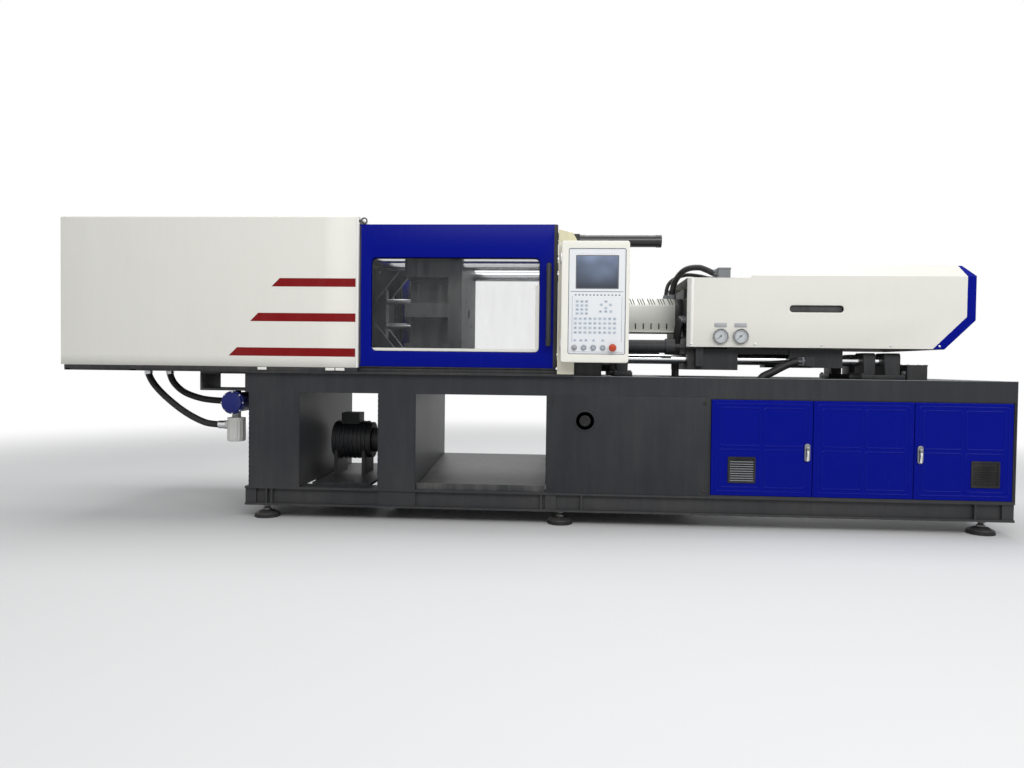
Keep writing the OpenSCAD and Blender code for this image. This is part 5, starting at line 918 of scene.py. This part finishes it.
solids_piece("access_panel_screws", panel_screws,
             paint("black screws", (0.02, 0.02, 0.02), 0.35, metallic=0.5), "base")
solids_piece("port_rim", [turned(port_ring, (PORT_X, PANEL_Y, PORT_Z), steps=48)], panel_grey, "base")
solids_piece("port_cap", [turned(port_face, (PORT_X, PANEL_Y + 0.6, PORT_Z), steps=48)], port_black, "base")

# Painted highlight: a lighter strip along the beam's top edge stands for the light falling on its upper
# face.
edge_highlight_paint = paint("edge highlight", (0.16, 0.165, 0.17), 0.4, amount=0.3, metallic=0.3)
lip = block((BED_X[0], -BED_Y - 1.2, 817.5), (BED_X[1], -BED_Y + 6, 820.6), 1, 0.5, "x")
solids_piece("beam_edge_highlights", both_sides(lip), edge_highlight_paint, "base")
bead_radii = 2.6 + 0.7 * np.cos(np.arange(40) * math.pi)
beads = [hose_grid([(x, -BED_Y - 0.5, z) for z in np.linspace(184, 708, 40)], bead_radii, 8)
         for x in (-1529, -1245, -799, -592)]
solids_piece("weld_beads", beads, bed_paint, "base", edge_angle=60)


# Levelling feet: a vulcanised rubber ring in a pressed steel cap, with a threaded stud that is
# screwed into the bed and held by two nuts.
foot_rubber = paint("foot rubber", (0.013, 0.013, 0.014), 0.7, amount=0.15, dust=(0.10, 0.095, 0.085),
                    peel_height=0.5)
foot_cap = paint("foot cap", (0.05, 0.052, 0.056), 0.45, amount=0.4, dust=(0.2, 0.17, 0.14), metallic=0.4)
thread = [(15 - 1.1 * (k % 2), 37 + 1.5 * k) for k in range(27)]
soles, caps, studs = [], [], []
for foot in ((x, y, 0) for x in (-1452, 210, 2468) for y in (-460, 460)):
    soles.append(turned([(69, 0), (71, 2), (71, 8), (69, 11), (69.5, 14), (67.5, 20), (64, 22)], foot, "z",
                        48))
    caps.append(turned([(66, 18), (66.5, 21), (64, 24.5), (56, 27), (46, 33), (38, 37), (22, 38)], foot,
                       "z", 48))
    studs.append(turned(thread, foot, "z", 24))
    for low, high in ((38, 50), (60, 75.5)):
        studs.append(turned([(19, low), (22.8, low + 1.6), (22.8, high - 1.6), (19, high)], foot, "z", 6,
                            20))
solids_piece("foot_soles", soles, foot_rubber, "base", ["levelling_feet"])
solids_piece("foot_caps", caps, foot_cap, "base")
solids_piece("foot_studs", studs, paint("foot studs", (0.20, 0.20, 0.20), 0.4, amount=0.4, metallic=0.8),
             "base", edge_angle=25)


# Guard frame: folded rails in black along the bed, cream posts at the fixed platen that carry the
# operator panel, and a pale boxed corner. All are welded from 3 mm sheet.
POST_X, POST_TOP = (183, 275), (1601, 1544)
RAIL_X, RAIL_Z = -2578, (820, 829.5)
rail_black = paint("guard rails", (0.018, 0.019, 0.021), 0.45, amount=0.3, dust=(0.12, 0.11, 0.10))
rails = [block((RAIL_X, -573, RAIL_Z[0]), (POST_X[1] - 1, -506, RAIL_Z[1]), 2, 1.5, "x"),
         block((RAIL_X, -574, 829), (-908, -564, 850.5), 2, 1, "x"),
         block((RAIL_X, -540.5, 829), (POST_X[0], -533.5, 850.5), 1.5, 1, "x"),
         block((-936, -504.5, 1561), (POST_X[0] + 8, -499.5, 1599), 1.5, 1, "x"),
         block((-936.5, -514.5, 829), (-911.5, -499.5, 1599), 2, 1, "z"),
         block((-1882.5, -547.5, 839.5), (-1859.5, -533.5, 880.5), 2, 1)]
section = np.array([(POST_X[0] + 0.5, 829), (POST_X[1] - 0.5, 829), (POST_X[1] - 0.5, POST_TOP[1]),
                    (POST_X[0] + 0.5, POST_TOP[0])])
inwards = np.sign(section.mean(0) - section)
post = loft([(section + draw * inwards, y)
             for draw, y in ((2.5, -575), (1, -574.4), (0, -573), (0, -517), (1.5, -515.4))])
cap_section = np.array([(POST_X[0] + 2, 1543), (POST_X[1] + 6, 1543), (POST_X[1] + 6, 1550),
                        (POST_X[1] - 14, 1586), (POST_X[0] + 2, 1605)], float)
cap = loft([(cap_section, y) for y in (-577.5, -512)])
cream_paint = paint("post cream", (0.66, 0.63, 0.52), 0.42, amount=0.14, dust=(0.45, 0.4, 0.3))
solids_piece("guard_rails", both_sides(*rails), rail_black, "base",
             ["guard_frame"])
solids_piece("guard_posts", both_sides(post), cream_paint, "base")
solids_piece("guard_corners", both_sides(cap),
             paint("corner cream", (0.66, 0.62, 0.42), 0.45, amount=0.2), "base", edge_angle=25)
cross_rails = [block((low, -573, RAIL_Z[0]), (high, 573, RAIL_Z[1]), 2, 1)
               for low, high in ((RAIL_X, -2542), (-2200, -2162))]
MANIFOLD_AT = ((-2225, -330), (-2137, -250))
manifold = [block((-2244, -364, 830), (-2116, -216, 889), 4, 3, "z")]
manifold += [turned([(26, 0), (26, -8), (22, -9.4)], (x, y, RAIL_Z[1]), "z", 6) for x, y in MANIFOLD_AT]
solids_piece("cross_rails", cross_rails, rail_black, "base")
solids_piece("clamp_manifold", manifold, dark_iron, "base")
pins = []
for z in HINGE_Z:
    pins.append(turned([(6, -1), (6, 40), (5, 41)], (210, -600, z), "z", 20))
    pins.append(block((194, -607, z - 10), (224, -574, z), 3, 1, "z"))
solids_piece("panel_hinge_pins", pins, zinc, "base")


# Guide rods: ground and hard-chromed bars in cast-iron pedestals bolted to the bed. The carriage's
# shoes slide on them.
ROD_Y, ROD_Z = 250, 922
cast_dark = paint("machine castings", (0.015, 0.0165, 0.019), 0.5, amount=0.3, dust=(0.12, 0.11, 0.10),
                  peel_height=0.5, peel_scale=120)
bolt_profile = [(9, 0), (9, 8), (8, 9.4), (5, 9.4), (5, 5)]
rods, pedestals, bolts = [], [], []
for side in (-1, 1):
    rods.append(turned([(25, 522), (27.5, 525), (27.5, 2089), (25, 2092)], (0, side * ROD_Y, ROD_Z), "x",
                       40))
    for low, high, out in ((520, 590, 284), (1893, 1958, 320), (2007, 2094, 320)):
        pedestal = loft([(round_ring((low + long - 1, 180 + wide), (high - long + 1, out - wide), 5), z)
                         for z, wide, long in ((820, 0, 6), (850, 0, 3), (900, 4, 1), (948, 6, 0),
                                               (962, 9, 1), (967, 14, 5))], "z")
        pedestals.append(on_side(pedestal, -side))
    for low, high in ((500, 610), (1873, 2114)):
        pedestals.append(on_side(block((low, 160, 820), (high, 340, 845), 8, 3, "z"), -side))
        bolts += [turned(bolt_profile, (x, side * y, 844.5), "z", 20) for x in (low + 13, high - 13)
                  for y in (176, 324)]
solids_piece("guide_rods_chromed", rods, chrome, "base", ["guide_rods"])
solids_piece("rod_pedestals", pedestals, cast_dark, "base")
solids_piece("pedestal_bolts", bolts, paint("socket screws", (0.05, 0.05, 0.052), 0.35, metallic=0.8),
             "base")


# Platens, links, cylinders, carriage and pump: machined castings and weldments in dark machine
# enamel, bolted to the bed or riding on bars. The control gear has plain grey plastic cases.
wear(cast_dark, "carriage", "thrust_unit", "carriage_cylinders", "crosshead", "clamp_cylinder",
     "ejector_cylinder", "rear_links_upper", "rear_links_lower", "front_links_upper", "front_links_lower",
     "crosshead_links_upper", "crosshead_links_lower", "fixed_platen", "moving_platen", "tail_platen",
     "pump_unit")
wear(paint("control gear", (0.42, 0.43, 0.44), 0.5, amount=0.05), "control_gear")


# Hoses and conduits: ribbed black plastic conduit over the barrel, smooth rubber hose elsewhere, all
# with crimped or nutted ends. They hang stiffly along curves through a few places on their way.
def curve_through(places, spacing):
    """Catmull-Rom curve through the places, as points set evenly along it."""
    p = np.asarray(places, float)
    p = np.concatenate([[2 * p[0] - p[1]], p, [2 * p[-1] - p[-2]]])
    t = np.linspace(0, 1, 60, endpoint=False)[:, None]
    parts = []
    for a, b, c, d in zip(p, p[1:], p[2:], p[3:]):
        square, cube = 2 * a - 5 * b + 4 * c - d, 3 * b - a - 3 * c + d
        parts.append(0.5 * (2 * b + (c - a) * t + square * t ** 2 + cube * t ** 3))
    fine = np.concatenate(parts + [p[-2:-1]])
    along = np.concatenate([[0], np.cumsum(np.linalg.norm(np.diff(fine, axis=0), axis=1))])
    stations = np.linspace(0, along[-1], max(2, round(along[-1] / spacing)) + 1)
    return np.stack([np.interp(stations, along, fine[:, k]) for k in range(3)], -1)


RIB_PITCH, POINTS_PER_RIB, HOSE_STEP = 6.0, 4, 12
conduit_black = paint("ribbed conduit", (0.011, 0.011, 0.012), 0.38, amount=0.12, peel_height=0.05)
hose_black = paint("hose rubber", (0.013, 0.013, 0.014), 0.5, amount=0.25, dust=(0.09, 0.085, 0.08),
                   peel_height=0.3, peel_scale=300)
conduit_routes = (
    (18, [(868, -38, 1285.2), (868, -38, 1315), (880, -90, 1390), (925, -150, 1446), (995, -185, 1456),
          (1050, -190, 1438), (1077, -190, 1425), (1099.8, -190, 1425)]),
    (12, [(835, -15, 1285.2), (835, -15, 1311), (846, -30, 1370), (883, -52, 1406), (945, -88, 1424),
          (1010, -120, 1415), (1050, -145, 1402), (1077, -157, 1396), (1099.8, -157, 1396)]))
ribbed, glands = [], []
for radius, places in conduit_routes:
    line = curve_through(places, RIB_PITCH / POINTS_PER_RIB)
    ribs = np.cos(2 * math.pi * np.arange(len(line)) / POINTS_PER_RIB)
    ribbed.append(hose_grid(line, radius - 0.9 + 0.9 * ribs, 18))
    foot = (*places[0][:2], HOOD_Z[1])
    glands.append(turned([(radius + 5, 0), (radius + 6, 2), (radius + 6, 12), (radius + 4, 14)], foot, "z",
                         6))
    glands.append(turned([(radius + 4, 12), (radius + 4, 22), (radius + 1, 25)], foot, "z", 32))
solids_piece("ribbed_conduits", ribbed, conduit_black, "injection", ["hydraulic_conduits"],
             edge_angle=70)
solids_piece("conduit_glands", glands, gland_grey, "injection")

bundle = np.array([(0, 0, 0), (-18, 0, 0), (-36, 8, -60), (-42, 30, -160), (-42, 52, -260), (-40, 60, -360),
                   (-40, 60, -400)], float)
drain = np.array([(0, 0, 0), (-34, 0, 0), (-98, 0, -22), (-172, 0, -62), (-226, 0, -91), (-244, 0, -135),
                  (-246, 0, -175)], float)
carriage_hoses, ferrules = [], []
for number in range(3):
    start = np.array([921.7, -230 + 42 * number, 1145 + 8 * number])
    carriage_hoses.append(hose_grid(curve_through(start + bundle, HOSE_STEP), 15, 20))
    ferrules.append(turned([(16, 0), (18.5, -1.5), (18.5, -10), (16.5, -12), (16.5, -26), (15.5, -28)],
                           start, "x", 24))
start = np.array([1559.7, -334, 915.0])
carriage_hoses.append(hose_grid(curve_through(start + drain, HOSE_STEP), 22, 24))
ferrules.append(turned([(26, 0), (28, -1.5), (28, -12), (24, -14), (24, -34), (22.5, -36)], start, "x", 6))
solids_piece("carriage_hoses", carriage_hoses, hose_black, "injection", edge_angle=70)
solids_piece("carriage_ferrules", ferrules, gland_grey, "injection")

# Two rubber lips close the deck's slot around the drain hose, which pushes them apart as it travels.
DRAIN_X, DRAIN_Y, SLIT_Y, LIP_Z = (1207, 1485), (-368, -300), -334, (812, 816)
slot_lips = [block((DRAIN_X[0], low, LIP_Z[0]), (DRAIN_X[1], high, LIP_Z[1]), 1.5, 0.8, "z")
             for low, high in ((DRAIN_Y[0], SLIT_Y - 0.5), (SLIT_Y + 0.5, DRAIN_Y[1]))]
solids_piece("slot_lips", slot_lips, hose_black, "base")

# Below the clamp's overhang two hoses fall to the water side: a shell cooler in blue enamel and a
# white strainer with pressed flutes, both under a black bracket.
COOLER_X, COOLER_Z = -1652, 644
STRAINER_X, STRAINER_Y = -1661, -400
WATER_PORTS = ((-400, 512), (-280, COOLER_Z))
hose_a = [(-2225, -330, 829.2), (-2225, -330, 800), (-2190, -334, 740), (-2114, -340, 665),
          (-1990, -360, 580), (-1861, -385, 524), (-1762, -400, 512), (-1722.2, -400, 512)]
hose_b = [(-2137, -250, 829.2), (-2137, -250, 800), (-2109, -255, 745), (-2040, -262, 690),
          (-1930, -272, 655), (-1820, -278, 644), (-1762, -280, 644), (-1722.2, -280, 644)]
falling = [hose_grid(curve_through(route, HOSE_STEP), 19, 22) for route in (hose_a, hose_b)]
hose_ends = [turned([(19.5, -8), (23, -10), (23, -30), (19.5, -33)], (x, y, RAIL_Z[1]), "z", 28)
             for x, y in MANIFOLD_AT]
hose_ends += [turned([(19.6, -44), (23, -42), (23, -8), (25, -7), (25, 2)], (-1722, y, z), "x", 28)
              for y, z in WATER_PORTS]
solids_piece("clamp_hoses_rubber", falling, hose_black, "base", ["clamp_hoses"], edge_angle=70)
solids_piece("clamp_hose_ends", hose_ends, zinc, "base")

cooler_blue = paint("cooler enamel", (0.004, 0.010, 0.13), 0.35, amount=0.25, dust=(0.1, 0.1, 0.12),
                    peel_height=0.2)
tube = [(0.5, -496), (50, -495), (56, -493), (58, -488), (56, -476), (66, -475.5), (66, -460), (56, -459.5),
        (56, 396), (66, 396.5), (66, 412), (56, 413), (56, 415), (50, 417)]
shell_parts = [turned(tube, (COOLER_X, 0, COOLER_Z), "y", 44),
               turned([(25, -70), (25, -18), (29, -12), (29, 0)], (COOLER_X, -280, COOLER_Z), "x", 28),
               block((-1649, 318, 616), (-1554, 344, 652), 3, 1.5, "x")]
bolt_circle = arc((COOLER_X, COOLER_Z), 61, 0, 315, 8)
cooler_bolts = [turned([(6, 0), (6, -5), (5, -6.4)], (x, -475, z), "y", 6) for x, z in bolt_circle]
solids_piece("cooler_shell", shell_parts, cooler_blue, "base", ["oil_cooler"])
solids_piece("cooler_bolts", cooler_bolts, zinc, "base")

bracket = [block((x0, -475, z0), (x1, -235, z1), 3, 2, axis) for x0, x1, z0, z1, axis in
           ((-1842, -1554, 808, 820, "z"), (-1842, -1554, 712, 724, "z"), (-1842, -1830, 722, 810, "x"),
            (-1566, -1554, 722, 810, "x"))]
bracket.append(block((-1665, -415, 644), (-1639, -385, 714), 3, 2, "z"))
solids_piece("cooler_bracket", bracket, dark_iron, "base")

FLUTES = 16
flute_angle = np.linspace(0, 2 * math.pi, 96, endpoint=False)
circle = np.stack([np.cos(flute_angle), np.sin(flute_angle)], -1)
fluting = np.cos(FLUTES * flute_angle)[:, None]
bowl = loft([((STRAINER_X, STRAINER_Y) + (radius + depth * fluting) * circle, z) for z, radius, depth in
             ((419, 44, 0), (421, 48, 0), (428, 50.5, 0), (440, 49, 1.6), (530, 49, 1.6), (541, 50.5, 0),
              (550, 51, 0), (555, 49, 0), (557, 26, 0), (562, 24.5, 0), (592, 24.5, 0))], "z")
inlet = turned([(22, -62), (22, -46)], (STRAINER_X, STRAINER_Y, 512), "x", 28)
strainer_white = paint("strainer bowl", (0.60, 0.60, 0.58), 0.4, amount=0.35, dust=(0.25, 0.22, 0.17),
                       stain_scale=8)
solids_piece("strainer", [bowl, inlet], strainer_white, "base")


# Tie bars: four ground and chromed bars with rolled threads at the fixed platen, each held there by
# an eight-sided blackened nut. The platens ride on them.
TIE_AT = 275
tie_steel = paint("tie bar chrome", (0.72, 0.73, 0.74), 0.14, amount=0.12, dust=(0.2, 0.18, 0.14),
                  metallic=1.0, peel_height=0.01, stain_scale=5)
nut_black = paint("blackened nuts", (0.022, 0.023, 0.025), 0.45, amount=0.2, metallic=0.3)
thread = [(39.4 if k % 2 else 37.6, 436 + 1.5 * k) for k in range(40)]
tie_profile = [(36, -1675), (40, -1671), (40, 434)] + thread + [(35, 497)]
tie_places = [(0, y, z) for y in (-TIE_AT, TIE_AT) for z in (AXIS_Z - TIE_AT, AXIS_Z + TIE_AT)]
tie_rods = [turned(tie_profile, place, "x", 40) for place in tie_places]
tie_nuts = [turned([(60, 435.2), (69, 438), (69, 487), (60, 490)], place, "x", 8, 22.5)
            for place in tie_places]
solids_piece("tie_bars_ground", tie_rods, tie_steel, "base", ["tie_bars"])
solids_piece("tie_nuts", tie_nuts, nut_black, "base", edge_angle=20)


# Toggle pins, guide pins, mould height nuts, ejector rod and safety bar: bearing steel, left bright.
# The clamp's piston rod is ground and chromed like the tie bars.
pin_steel = paint("pin steel", (0.50, 0.50, 0.51), 0.28, amount=0.25, dust=(0.14, 0.12, 0.08), metallic=1.0,
                  peel_height=0.02)
wear(pin_steel, "tail_toggle_pins", "front_toggle_pins", "guide_pins", "height_nuts", "ejector_rod",
     "safety_bar")
wear(tie_steel, "piston_rod")


# Mechanical safety bar's tube: black-painted pipe over the injection side, closed by a cap at its
# end, that takes the notched bar in as the mould opens.
tube_paint = paint("safety tube paint", (0.012, 0.012, 0.013), 0.28, amount=0.12, dust=(0.08, 0.08, 0.08),
                   specular=0.5)
wear(tube_paint, "safety_bar_tube")


# Terminal box on the bed: sheet steel in the guard rails' black, its lid held by four screws and a
# six-sided cable gland in its end.
wear(rail_black, "terminal_box")
lid_screws = [turned([(4, 0), (4, 2), (3, 3)], (x, y, 903), "z", 16) for x in (2127, 2221)
              for y in (-333, -247)]
solids_piece("terminal_box_screws", lid_screws, zinc, "base")
box_gland = [turned([(13, 0), (13, -12), (10, -14), (10, -22)], (2120, -310, 856), "x", 6)]
solids_piece("terminal_box_gland", box_gland, gland_grey, "base")
